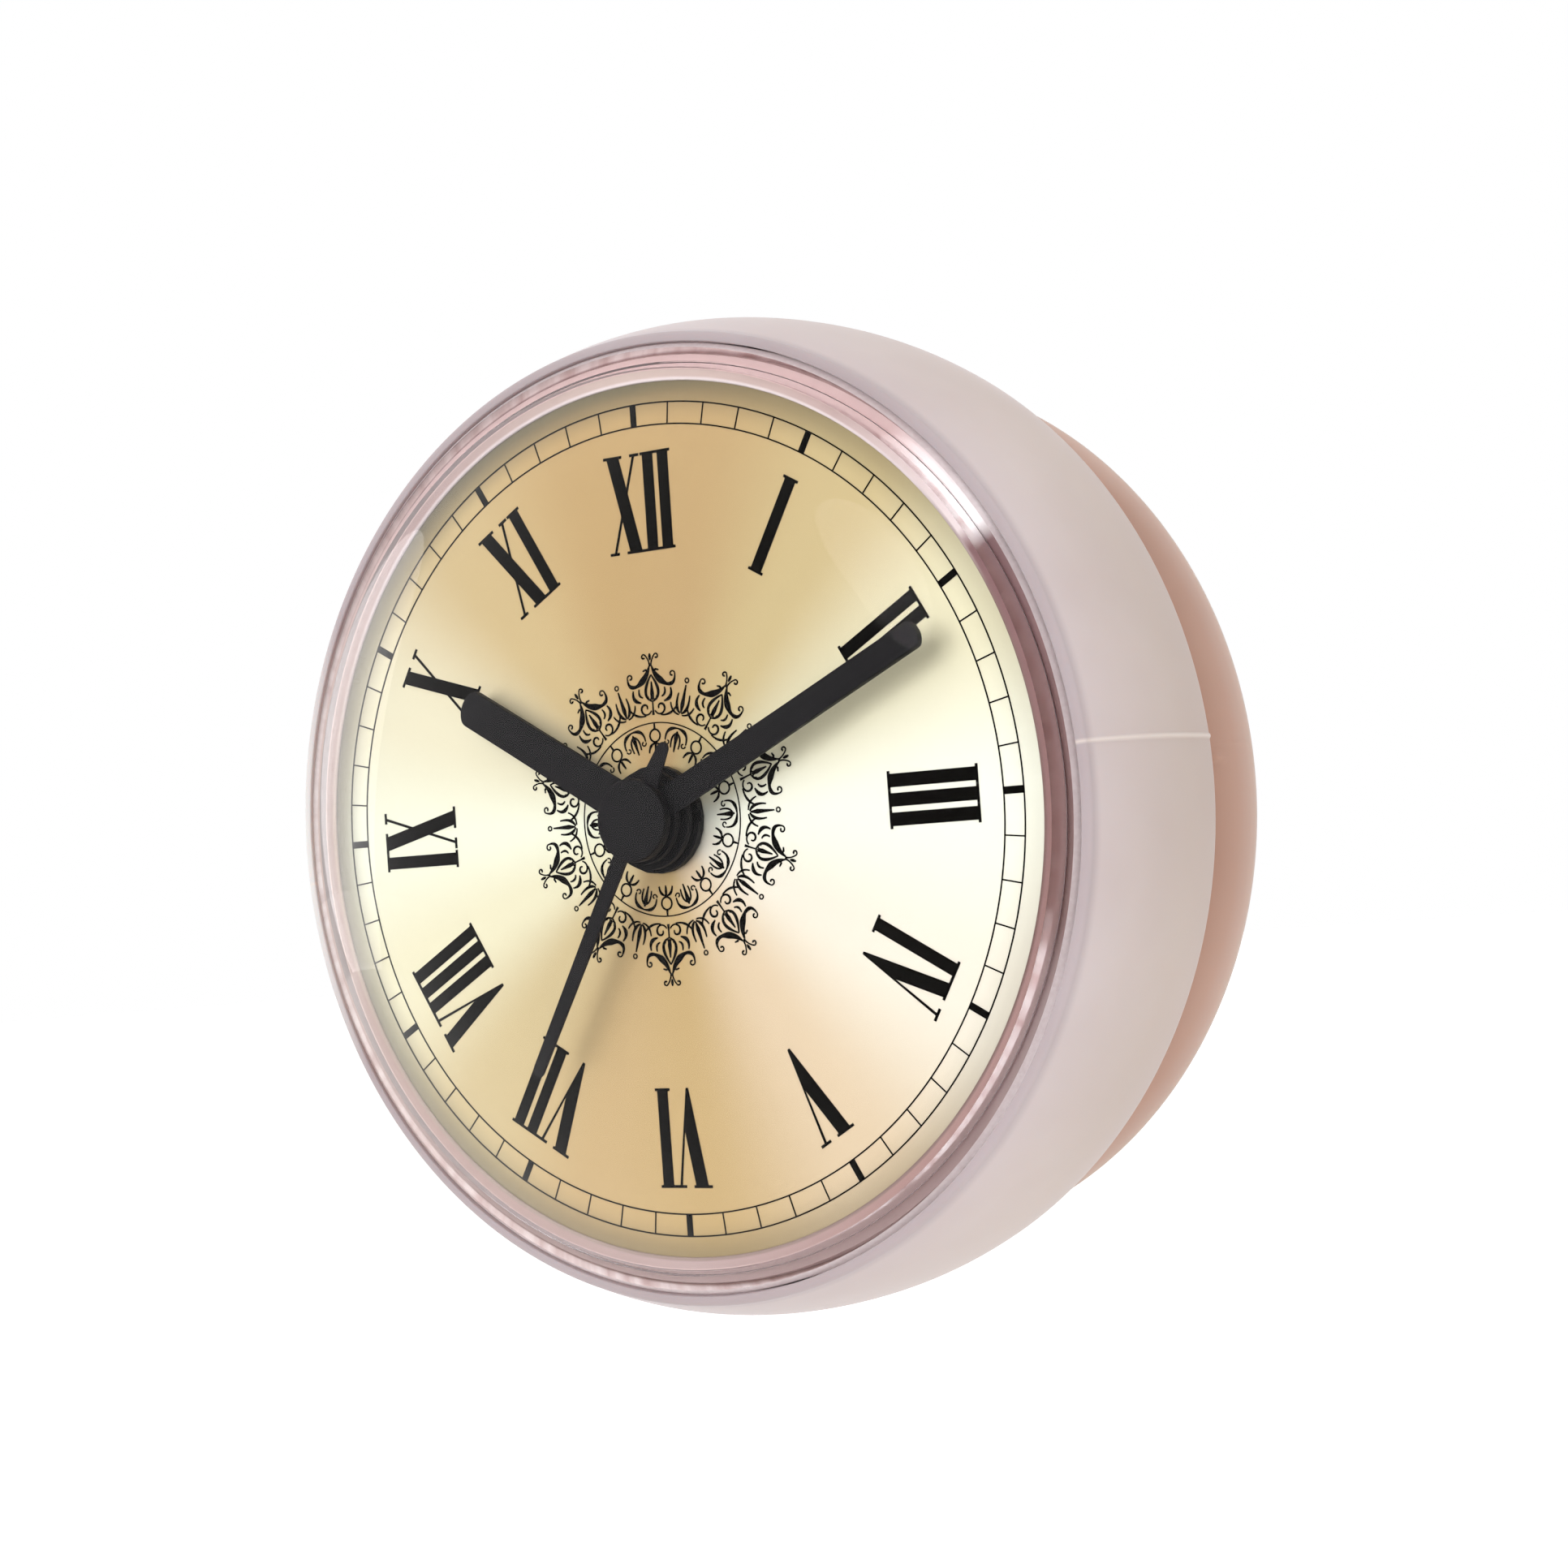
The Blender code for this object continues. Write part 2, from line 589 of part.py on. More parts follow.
def lens_seal():
    """Flat rubber ring that keeps water out between the lens and the housing."""
    outer = CORE_RADIUS - SEAL_INSET
    inner = LENS_INNER + SEAL_INSET
    return ring("lens_seal", BLACK_RUBBER, inner, outer, SEAL_BOTTOM, SEAL_TOP, LENS_STEPS)


def dial():
    """Printed metal disc on the housing's seat, clamped in the middle by the nut."""
    hole = NECK_OUTER + FIT_GAP / 2
    return ring("dial", GOLD_PLATE, hole, DIAL_RADIUS, DIAL_BACK, DIAL_FACE, LENS_STEPS)


def fixing_nut():
    """Round nut on the movement's neck, with a slot across it for the key that turns it."""
    low = DIAL_FACE + WATCH_GAP
    outlines = [circle(NUT_RADIUS, SMALL_STEPS), circle(NECK_OUTER + WATCH_GAP, SMALL_STEPS)]
    nut = plate("fixing_nut", BLACK_METAL, outlines, low, low + NUT_THICKNESS)
    for label, turn in (("across", 0.0), ("upright", 90.0)):
        cut(nut, block(
            "fixing_nut_slot_" + label, BLACK_METAL, (3 * NUT_RADIUS, NUT_SLOT_WIDTH), AXIS,
            low + NUT_THICKNESS / 2, low + 2 * NUT_THICKNESS, turn,
        ))
    return nut


# Hands

def hand_outline(length, half_width, tip, hub):
    """A straight hand with a rounded tip, pointing to 12, and its round hub."""
    root = math.asin(half_width / hub)
    hub_steps = 18
    start = math.pi / 2 + root
    sweep = math.tau - 2 * root
    outline = [
        (hub * math.cos(start + sweep * i / hub_steps), hub * math.sin(start + sweep * i / hub_steps))
        for i in range(hub_steps + 1)
    ]
    return outline + rounded_end(length, half_width, tip)


def rounded_end(length, half_width, tip):
    steps = 6
    points = []
    for i in range(steps + 1):
        angle = math.pi * i / steps
        points.append((half_width * math.cos(angle), length - tip + tip * math.sin(angle)))
    return points


def hour_hand():
    low = DIAL_FACE + HOUR_HAND_LIFT
    high = low + HOUR_HAND_THICKNESS
    outline = hand_outline(HOUR_HAND_LENGTH, HOUR_HAND_HALF_WIDTH, HOUR_HAND_TIP, HOUR_HUB_RADIUS)
    bore = circle(HOUR_TUBE + WATCH_GAP, TINY_STEPS)
    return plate("hour_hand", BLACK_METAL, [outline, bore], low, high, AXIS, -HOUR_HAND_ANGLE)


def minute_hand():
    low = DIAL_FACE + MINUTE_HAND_LIFT
    high = low + MINUTE_HAND_THICKNESS
    outline = hand_outline(MINUTE_HAND_LENGTH, MINUTE_HAND_HALF_WIDTH, MINUTE_HAND_TIP, MINUTE_HUB_RADIUS)
    bore = circle(MINUTE_PIPE + WATCH_GAP, TINY_STEPS)
    return plate("minute_hand", BLACK_METAL, [outline, bore], low, high, AXIS, -MINUTE_HAND_ANGLE)


def second_hand():
    """Slim hand with a short tail. Its round cap covers the end of the arbor."""
    low = DIAL_FACE + SECOND_HAND_LIFT
    high = low + SECOND_HAND_THICKNESS
    half = SECOND_HAND_HALF_WIDTH
    tail = [(-x, -y) for x, y in rounded_end(SECOND_TAIL_LENGTH, half, half)]
    blade = rounded_end(SECOND_HAND_LENGTH, half, half) + tail
    hand = plate("second_hand", BLACK_METAL, [blade], low + WATCH_GAP, high, AXIS, -SECOND_HAND_ANGLE)
    add_rod(hand, "cap", SECOND_CAP_RADIUS, low, low + SECOND_CAP_HEIGHT, AXIS, SMALL_STEPS)
    socket_end = seconds_arbor_top() + WATCH_GAP
    cut_hole(hand, "socket", SECONDS_ARBOR + WATCH_GAP, low - WATCH_GAP, socket_end)
    return hand


def seconds_arbor_top():
    return DIAL_FACE + SECOND_HAND_LIFT + SECOND_CAP_HEIGHT / 2


# Movement case

def movement_outline(inset):
    """The movement's edge, drawn in by an inset. Its corners are cut at 45 degrees."""
    half = MOVEMENT_HALF_WIDTH - inset
    top = MOVEMENT_TOP - inset
    bottom = MOVEMENT_BOTTOM - inset
    shrink = inset * (2 - math.sqrt(2))
    upper = MOVEMENT_TOP_CORNER - shrink
    lower = MOVEMENT_BOTTOM_CORNER - shrink
    return [
        (-half, -bottom + lower),
        (-half + lower, -bottom),
        (half - lower, -bottom),
        (half, -bottom + lower),
        (half, top - upper),
        (half - upper, top),
        (-half + upper, top),
        (-half, top - upper),
    ]


def movement_base():
    """Front half of the movement: plate, skirt, two ears and the neck that goes through the dial."""
    base = plate("movement_base", BLACK_PLASTIC, [movement_outline(0.0)], BASE_UNDERSIDE, BASE_FACE)
    wall = [movement_outline(0.0), movement_outline(MOVEMENT_WALL)]
    middle = (BASE_UNDERSIDE + BASE_FACE) / 2
    join(base, plate("movement_base_skirt", BLACK_PLASTIC, wall, SKIRT_END, middle))
    ear_start = MOVEMENT_HALF_WIDTH - MOVEMENT_WALL / 2
    ear_end = SCREW_OFFSET + EAR_HALF_WIDTH
    ear_middle = (ear_start + ear_end) / 2
    for side, label in ((-1, "left"), (1, "right")):
        size = (ear_end - ear_start, 2 * EAR_HALF_WIDTH)
        ear_place = (side * ear_middle, 0.0)
        join(base, block("movement_base_ear_" + label, BLACK_PLASTIC, size, ear_place, SKIRT_END, EAR_TOP))
        hole = SCREW_RADIUS + WATCH_GAP
        hole_place = (side * SCREW_OFFSET, 0.0)
        cut_hole(base, "screw_hole_" + label, hole, SKIRT_END - FIT_GAP, EAR_TOP + FIT_GAP, hole_place)
    add_rod(base, "neck", NECK_OUTER, middle, DIAL_FACE + NECK_HEIGHT, AXIS, SMALL_STEPS)
    cut_hole(base, "neck_bore", NECK_BORE, SKIRT_END, LIP_FRONT + NECK_HEIGHT, AXIS, SMALL_STEPS)
    add_rod(base, "minute_post", PIVOT_POST, layer(4), middle, MINUTE_WHEEL_PLACE)
    cut_hole(base, "third_pivot", THIRD_ARBOR + WATCH_GAP, SKIRT_END, middle, THIRD_PLACE)
    post_end = board_bottom() + BOARD_THICKNESS + 2 * WATCH_GAP
    for label, place in (("upper", BOARD_POST_UPPER), ("lower", BOARD_POST_LOWER)):
        add_rod(base, "board_post_" + label, BOARD_POST_RADIUS, post_end, middle, place)
    return base


def movement_cover():
    """Rear half of the movement: a tray with the posts and sockets that the wheels turn on."""
    cover = plate("movement_cover", WHITE_PLASTIC, [movement_outline(0.0)], COVER_REAR, COVER_FLOOR)
    middle = (COVER_REAR + COVER_FLOOR) / 2
    wall = [movement_outline(0.0), movement_outline(MOVEMENT_WALL)]
    join(cover, plate("movement_cover_wall", WHITE_PLASTIC, wall, middle, SKIRT_END - 2 * WATCH_GAP))
    shoulder = layer(0) - FIT_GAP
    for label, place, arbor in (("seconds", AXIS, SECONDS_ARBOR), ("third", THIRD_PLACE, THIRD_ARBOR)):
        add_rod(cover, label + "_boss", 3 * arbor, middle, shoulder, place)
        cut_hole(cover, label + "_socket", arbor + WATCH_GAP, COVER_FLOOR, shoulder + FIT_GAP, place)
    for label, place, top in (
        ("intermediate", INTERMEDIATE_PLACE, layer(1) + WHEEL_THICKNESS),
        ("rotor", ROTOR_PLACE, magnet_top()),
    ):
        add_rod(cover, label + "_shoulder", 3 * PIVOT_POST, middle, shoulder, place)
        add_rod(cover, label + "_post", PIVOT_POST, middle, top, place)
    below = COVER_REAR - FIT_GAP
    above = COVER_FLOOR + FIT_GAP
    cut_hole(cover, "cell_hole", CELL_RADIUS + FIT_GAP, below, above, CELL_PLACE, SMALL_STEPS)
    cut_hole(cover, "knob_hole", KNOB_SHAFT + FIT_GAP, below, above, KNOB_PLACE)
    saddle_length = (CORE_BAR_LENGTH - COIL_LENGTH) / 2 - FIT_GAP
    for side, label in ((-1, "left"), (1, "right")):
        place = (COIL_MIDDLE_X + side * (CORE_BAR_LENGTH - saddle_length) / 2, COIL_MIDDLE_Z)
        size = (saddle_length, 1.5 * CORE_BAR_WIDTH)
        top = core_bar_middle() - CORE_BAR_THICKNESS / 2 - FIT_GAP
        join(cover, block("movement_cover_saddle_" + label, WHITE_PLASTIC, size, place, middle, top))
    return cover


def movement_screw(name, side):
    """One of the two screws that hold the movement's ears down on the housing's posts."""
    head_low = EAR_TOP + WATCH_GAP
    profile = [
        (0.0, head_low + SCREW_HEAD),
        (SCREW_HEAD_RADIUS, head_low + SCREW_HEAD),
        (SCREW_HEAD_RADIUS, head_low),
        (SCREW_RADIUS, head_low),
        (SCREW_RADIUS, head_low - SCREW_LENGTH),
        (0.0, head_low - SCREW_LENGTH),
    ]
    return turned(name, STEEL, profile, TINY_STEPS, (side * SCREW_OFFSET, 0.0))


# Wheel train, from the seconds arbor to the hour tube

SECONDS_PHASE = 0.0
THIRD_PINION_PHASE = 0.0
CANNON_PHASE = 0.0
MINUTE_PINION_PHASE = 0.0
INTERMEDIATE_PHASE = 0.0


def seconds_wheel():
    """Long arbor with the seconds wheel and its pinion. The second hand sits on its end."""
    radius = pitch_radius(INTERMEDIATE_DISTANCE, SECONDS_TEETH, INTERMEDIATE_LEAVES)
    piece = wheel("seconds_wheel", WHITE_PLASTIC, radius, SECONDS_TEETH, SECONDS_PHASE, 1)
    leaf_radius = pitch_radius(THIRD_DISTANCE, SECONDS_LEAVES, THIRD_TEETH)
    middle = layer(1) + WHEEL_THICKNESS / 2
    add_pinion(piece, leaf_radius, SECONDS_LEAVES, SECONDS_PHASE, middle, layer(2) + WHEEL_THICKNESS)
    add_rod(piece, "arbor", SECONDS_ARBOR, COVER_FLOOR + FIT_GAP, seconds_arbor_top())
    return piece


def third_wheel():
    """Second stage of the train, between the seconds pinion and the centre wheel."""
    radius = pitch_radius(THIRD_DISTANCE, THIRD_TEETH, SECONDS_LEAVES)
    phase = meshed_phase(SECONDS_PHASE, SECONDS_LEAVES, THIRD_TEETH, THIRD_DIRECTION)
    piece = wheel("third_wheel", WHITE_PLASTIC, radius, THIRD_TEETH, phase, 2, THIRD_PLACE)
    leaf_radius = pitch_radius(THIRD_DISTANCE, THIRD_LEAVES, CENTRE_TEETH)
    middle = layer(2) + WHEEL_THICKNESS / 2
    top = layer(3) + WHEEL_THICKNESS
    add_pinion(piece, leaf_radius, THIRD_LEAVES, THIRD_PINION_PHASE, middle, top, THIRD_PLACE)
    add_rod(piece, "arbor", THIRD_ARBOR, COVER_FLOOR + FIT_GAP, BASE_UNDERSIDE + FIT_GAP, THIRD_PLACE)
    return piece


def centre_wheel():
    """Centre wheel with the cannon pinion and the pipe that carries the minute hand."""
    radius = pitch_radius(THIRD_DISTANCE, CENTRE_TEETH, THIRD_LEAVES)
    phase = meshed_phase(THIRD_PINION_PHASE, THIRD_LEAVES, CENTRE_TEETH, THIRD_DIRECTION + 180.0)
    piece = wheel("centre_wheel", WHITE_PLASTIC, radius, CENTRE_TEETH, phase, 3)
    leaf_radius = pitch_radius(MINUTE_WHEEL_DISTANCE, CANNON_LEAVES, MINUTE_TEETH)
    middle = layer(3) + WHEEL_THICKNESS / 2
    add_pinion(piece, leaf_radius, CANNON_LEAVES, CANNON_PHASE, middle, layer(4) + WHEEL_THICKNESS)
    pipe_top = DIAL_FACE + MINUTE_HAND_LIFT + MINUTE_HAND_THICKNESS + HAND_SEAT
    add_rod(piece, "pipe", MINUTE_PIPE, middle, pipe_top)
    cut_hole(piece, "bore", MINUTE_PIPE_BORE, layer(3) - FIT_GAP, pipe_top + FIT_GAP)
    return piece


def minute_wheel():
    """Motion work: slows the cannon pinion down for the hour wheel, and takes the setting knob's turn."""
    radius = pitch_radius(MINUTE_WHEEL_DISTANCE, MINUTE_TEETH, CANNON_LEAVES)
    phase = meshed_phase(CANNON_PHASE, CANNON_LEAVES, MINUTE_TEETH, MINUTE_WHEEL_DIRECTION)
    piece = wheel("minute_wheel", WHITE_PLASTIC, radius, MINUTE_TEETH, phase, 4, MINUTE_WHEEL_PLACE)
    leaf_radius = pitch_radius(MINUTE_WHEEL_DISTANCE, MINUTE_LEAVES, HOUR_TEETH)
    middle = layer(4) + WHEEL_THICKNESS / 2
    top = layer(5) + WHEEL_THICKNESS
    add_pinion(piece, leaf_radius, MINUTE_LEAVES, MINUTE_PINION_PHASE, middle, top, MINUTE_WHEEL_PLACE)
    cut_hole(piece, "bore", PIVOT_BORE, layer(4) - FIT_GAP, top + FIT_GAP, MINUTE_WHEEL_PLACE)
    return piece


def hour_wheel():
    """Hour wheel with the tube that carries the hour hand."""
    radius = pitch_radius(MINUTE_WHEEL_DISTANCE, HOUR_TEETH, MINUTE_LEAVES)
    phase = meshed_phase(MINUTE_PINION_PHASE, MINUTE_LEAVES, HOUR_TEETH, MINUTE_WHEEL_DIRECTION + 180.0)
    piece = wheel("hour_wheel", WHITE_PLASTIC, radius, HOUR_TEETH, phase, 5)
    tube_top = DIAL_FACE + HOUR_HAND_LIFT + HOUR_HAND_THICKNESS + HAND_SEAT
    add_rod(piece, "tube", HOUR_TUBE, layer(5) + WHEEL_THICKNESS / 2, tube_top)
    cut_hole(piece, "bore", HOUR_TUBE_BORE, layer(5) - FIT_GAP, tube_top + FIT_GAP)
    return piece


def intermediate_wheel():
    """First stage of the train, between the rotor and the seconds wheel."""
    leaf_radius = pitch_radius(INTERMEDIATE_DISTANCE, INTERMEDIATE_LEAVES, SECONDS_TEETH)
    leaf_phase = meshed_phase(SECONDS_PHASE, SECONDS_TEETH, INTERMEDIATE_LEAVES, INTERMEDIATE_DIRECTION)
    radius = pitch_radius(ROTOR_DISTANCE, INTERMEDIATE_TEETH, ROTOR_LEAVES)
    teeth = INTERMEDIATE_TEETH
    phase = INTERMEDIATE_PHASE
    piece = wheel("intermediate_wheel", WHITE_PLASTIC, radius, teeth, phase, 0, INTERMEDIATE_PLACE)
    middle = layer(0) + WHEEL_THICKNESS / 2
    top = layer(1) + WHEEL_THICKNESS
    add_pinion(piece, leaf_radius, INTERMEDIATE_LEAVES, leaf_phase, middle, top, INTERMEDIATE_PLACE)
    cut_hole(piece, "bore", PIVOT_BORE, layer(0) - FIT_GAP, top + FIT_GAP, INTERMEDIATE_PLACE)
    return piece


def magnet_top():
    return stator_bottom() + STATOR_THICKNESS / 2 + MAGNET_THICKNESS / 2


def rotor():
    """Two-pole magnet with the pinion that drives the train, half a turn each second."""
    top = magnet_top()
    piece = rod("rotor", MAGNET, MAGNET_RADIUS, top - MAGNET_THICKNESS, top, ROTOR_PLACE, SMALL_STEPS)
    radius = pitch_radius(ROTOR_DISTANCE, ROTOR_LEAVES, INTERMEDIATE_TEETH)
    phase = meshed_phase(INTERMEDIATE_PHASE, INTERMEDIATE_TEETH, ROTOR_LEAVES, ROTOR_DIRECTION)
    add_pinion(piece, radius, ROTOR_LEAVES, phase, layer(0), top - MAGNET_THICKNESS / 2, ROTOR_PLACE)
    cut_hole(piece, "bore", PIVOT_BORE, layer(0) - FIT_GAP, top + FIT_GAP, ROTOR_PLACE)
    return piece


def setting_knob():
    """Ribbed thumb wheel in the housing's back, on a shaft whose pinion turns the minute wheel."""
    low = HOUSING_REAR + FIT_GAP
    outline = []
    for i in range(2 * KNOB_RIBS):
        radius = KNOB_RADIUS - (i % 2) * KNOB_RIB_DEPTH
        angle = math.pi * i / KNOB_RIBS
        outline.append((radius * math.cos(angle), radius * math.sin(angle)))
    knob = plate("setting_knob", BLACK_PLASTIC, [outline], low, low + KNOB_THICKNESS, KNOB_PLACE)
    shaft_low = low + KNOB_THICKNESS / 2
    add_rod(knob, "shaft", KNOB_SHAFT, shaft_low, BASE_UNDERSIDE - 2 * WATCH_GAP, KNOB_PLACE)
    radius = pitch_radius(MINUTE_WHEEL_DISTANCE, KNOB_LEAVES, MINUTE_TEETH)
    wheel_phase = meshed_phase(CANNON_PHASE, CANNON_LEAVES, MINUTE_TEETH, MINUTE_WHEEL_DIRECTION)
    phase = meshed_phase(wheel_phase, MINUTE_TEETH, KNOB_LEAVES, MINUTE_WHEEL_DIRECTION)
    add_pinion(knob, radius, KNOB_LEAVES, phase, layer(4), layer(4) + WHEEL_THICKNESS, KNOB_PLACE)
    return knob


# Motor

def stator_bottom():
    return layer(2) - WATCH_GAP


def core_bar_middle():
    return stator_bottom() - FIT_GAP - CORE_BAR_THICKNESS / 2


def stator():
    """Soft-iron yoke round the rotor, with two legs that end on the coil's core."""
    leg_width = (CORE_BAR_LENGTH - COIL_LENGTH) / 2 - FIT_GAP / 3
    left = COIL_MIDDLE_X - CORE_BAR_LENGTH / 2
    right = COIL_MIDDLE_X + CORE_BAR_LENGTH / 2
    foot = COIL_MIDDLE_Z - CORE_BAR_WIDTH
    shoulder_x, shoulder_z = ROTOR_PLACE
    reach = MAGNET_RADIUS + STATOR_HOLE_GAP + STATOR_RIM
    bar_top = -MAGNET_RADIUS
    bar_bottom = shoulder_z - reach
    outline = [
        (left, foot),
        (left + leg_width, foot),
        (left + leg_width, bar_bottom),
        (right - leg_width, bar_bottom),
        (right - leg_width, foot),
        (right, foot),
        (right, shoulder_z + reach / 2),
        (shoulder_x + reach / 2, shoulder_z + reach),
        (shoulder_x - reach / 2, shoulder_z + reach),
        (shoulder_x - reach, shoulder_z + reach / 2),
        (shoulder_x - reach, bar_top),
        (left, bar_top),
    ]
    hole = circle(MAGNET_RADIUS + STATOR_HOLE_GAP, SMALL_STEPS, ROTOR_PLACE)
    return plate("stator", SOFT_IRON, [outline, hole], stator_bottom(), stator_bottom() + STATOR_THICKNESS)


def coil():
    """Copper winding on its core, lying across the movement."""
    winding = ring("coil", COPPER, COIL_BORE, COIL_RADIUS, -COIL_LENGTH / 2, COIL_LENGTH / 2, SMALL_STEPS)
    winding.location = (COIL_MIDDLE_X, COIL_MIDDLE_Z, core_bar_middle())
    winding.rotation_euler = (0.0, math.pi / 2, 0.0)
    return winding


def coil_core():
    low = core_bar_middle() - CORE_BAR_THICKNESS / 2
    size = (CORE_BAR_LENGTH, CORE_BAR_WIDTH)
    place = (COIL_MIDDLE_X, COIL_MIDDLE_Z)
    return block("coil_core", SOFT_IRON, size, place, low, low + CORE_BAR_THICKNESS)


# Electronics and battery

def board_bottom():
    return layer(4) - 2 * WATCH_GAP - BOARD_THICKNESS


def circuit_board():
    """Small board beside the button cell, under its two posts. One corner follows the movement's wall."""
    corner_cut = max(0.0, BOARD_CORNER_Z - BOARD_LOW_Z)
    outline = [
        (BOARD_LEFT, BOARD_TOP_Z),
        (BOARD_LEFT, BOARD_LOW_Z + corner_cut),
        (BOARD_LEFT + corner_cut, BOARD_LOW_Z),
        (BOARD_RIGHT, BOARD_LOW_Z),
        (BOARD_RIGHT, BOARD_TOP_Z),
    ]
    return plate("circuit_board", GREEN_BOARD, [outline], board_bottom(), board_bottom() + BOARD_THICKNESS)


def chip():
    """Drop of resin over the clock's integrated circuit."""
    top = board_bottom() - 2 * WATCH_GAP
    profile = [
        (0.0, top),
        (CHIP_RADIUS, top),
        (0.8 * CHIP_RADIUS, top - 0.6 * CHIP_HEIGHT),
        (0.4 * CHIP_RADIUS, top - 0.95 * CHIP_HEIGHT),
        (0.0, top - CHIP_HEIGHT),
    ]
    place = (BOARD_LEFT + CHIP_RADIUS + BOARD_MARGIN, BOARD_TOP_Z - CHIP_RADIUS - BOARD_MARGIN)
    return turned("chip", BLACK_PLASTIC, profile, TINY_STEPS, place)


def quartz_crystal():
    """Steel can of the quartz crystal, lying against the board."""
    can = rod("quartz_crystal", STEEL, CRYSTAL_RADIUS, -CRYSTAL_LENGTH / 2, CRYSTAL_LENGTH / 2)
    x = BOARD_RIGHT - CRYSTAL_RADIUS - BOARD_MARGIN / 2
    z = (BOARD_TOP_Z + BOARD_LOW_Z) / 2
    can.location = (x, z, board_bottom() - 2 * WATCH_GAP - CRYSTAL_RADIUS)
    can.rotation_euler = (math.pi / 2, 0.0, 0.0)
    return can


def cell_bottom():
    return HOUSING_FLOOR + REAR_SPACE


def button_cell():
    """Round cell behind the battery door, its smaller pole to the front."""
    top = cell_bottom() + CELL_THICKNESS
    shoulder = top - CELL_CAP_HEIGHT
    profile = [
        (0.0, top),
        (CELL_CAP_RADIUS, top),
        (CELL_CAP_RADIUS, shoulder),
        (CELL_RADIUS, shoulder),
        (CELL_RADIUS, cell_bottom()),
        (0.0, cell_bottom()),
    ]
    return turned("button_cell", STEEL, profile, SMALL_STEPS, CELL_PLACE)


def contact_positive():
    """Spring strip between the side of the cell and the board."""
    size = (CONTACT_THICKNESS, CONTACT_POSITIVE_WIDTH)
    place = (-CELL_RADIUS - FIT_GAP - CONTACT_THICKNESS / 2, CELL_MIDDLE_Z)
    return block(
        "contact_positive", STEEL, size, place, COVER_FLOOR + FIT_GAP, board_bottom() + BOARD_THICKNESS
    )


def contact_negative():
    """Strip over the board and the cell, with a button that presses on the cell."""
    low = board_bottom() + BOARD_THICKNESS + FIT_GAP
    high = low + CONTACT_THICKNESS
    arm_end = BOARD_RIGHT - CONTACT_OVERLAP
    arm_top = BOARD_TOP_Z - BOARD_MARGIN
    arm_low = arm_top - CONTACT_ARM_WIDTH
    tongue = CONTACT_TONGUE_WIDTH / 2
    tongue_end = CELL_MIDDLE_Z - 1.5 * CONTACT_BUTTON_RADIUS
    outline = [
        (arm_end, arm_top),
        (arm_end, arm_low),
        (-tongue, arm_low),
        (-tongue, tongue_end),
        (tongue, tongue_end),
        (tongue, arm_top),
    ]
    strip = plate("contact_negative", STEEL, [outline], low, high)
    button_low = cell_bottom() + CELL_THICKNESS + FIT_GAP
    add_rod(strip, "button", CONTACT_BUTTON_RADIUS, button_low, (low + high) / 2, CELL_PLACE)
    return strip


# Battery door

def battery_door():
    """Coin-slot door. Its two lugs turn under the edge of the battery hole."""
    low = HOUSING_REAR + WATCH_GAP
    lug_low = HOUSING_FLOOR + WATCH_GAP
    lug_high = lug_low + DOOR_LUG_THICKNESS
    boss_top = lug_high + WATCH_GAP
    profile = [
        (0.0, boss_top),
        (DOOR_BOSS_RADIUS, boss_top),
        (DOOR_BOSS_RADIUS, low + DOOR_FLANGE),
        (DOOR_RADIUS, low + DOOR_FLANGE),
        (DOOR_RADIUS, low),
        (0.0, low),
    ]
    door = turned("battery_door", MAUVE_PLASTIC, profile, SMALL_STEPS, CELL_PLACE)
    lugs = (2 * DOOR_RADIUS - FIT_GAP, DOOR_LUG_WIDTH)
    join(door, block("battery_door_lugs", MAUVE_PLASTIC, lugs, CELL_PLACE, lug_low, lug_high))
    slot = (COIN_SLOT_LENGTH, COIN_SLOT_WIDTH)
    cut(door, block(
        "battery_door_coin_slot", MAUVE_PLASTIC, slot, CELL_PLACE, low - FIT_GAP, low + COIN_SLOT_DEPTH
    ))
    return door


def door_seal():
    """Rubber ring under the door's flange."""
    low = HOUSING_REAR + WATCH_GAP + DOOR_FLANGE + WATCH_GAP
    high = low + DOOR_SEAL_THICKNESS
    inner = DOOR_BOSS_RADIUS + FIT_GAP
    return ring("door_seal", BLACK_RUBBER, inner, DOOR_RADIUS, low, high, SMALL_STEPS, CELL_PLACE)


silicone_case()
core_housing()
movement_cover()
coil_core()
coil()
stator()
rotor()
intermediate_wheel()
seconds_wheel()
third_wheel()
centre_wheel()
setting_knob()
minute_wheel()
hour_wheel()
chip()
quartz_crystal()
circuit_board()
contact_positive()
contact_negative()
movement_base()
movement_screw("screw_left", -1)
movement_screw("screw_right", 1)
button_cell()
door_seal()
battery_door()
dial()
fixing_nut()
hour_hand()
minute_hand()
second_hand()
lens_seal()
lens()
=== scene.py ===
"""The looks of a round quartz clock that a suction cup holds on a wet wall.

Pieces are drawn in clock coordinates, in metres: x towards 3 o'clock, y towards 12 and height out of the
wall. finish_piece turns them into the frame's own axes, where the clock faces -Y.
"""

import math

import bmesh
import bpy
from mathutils import Matrix, Vector


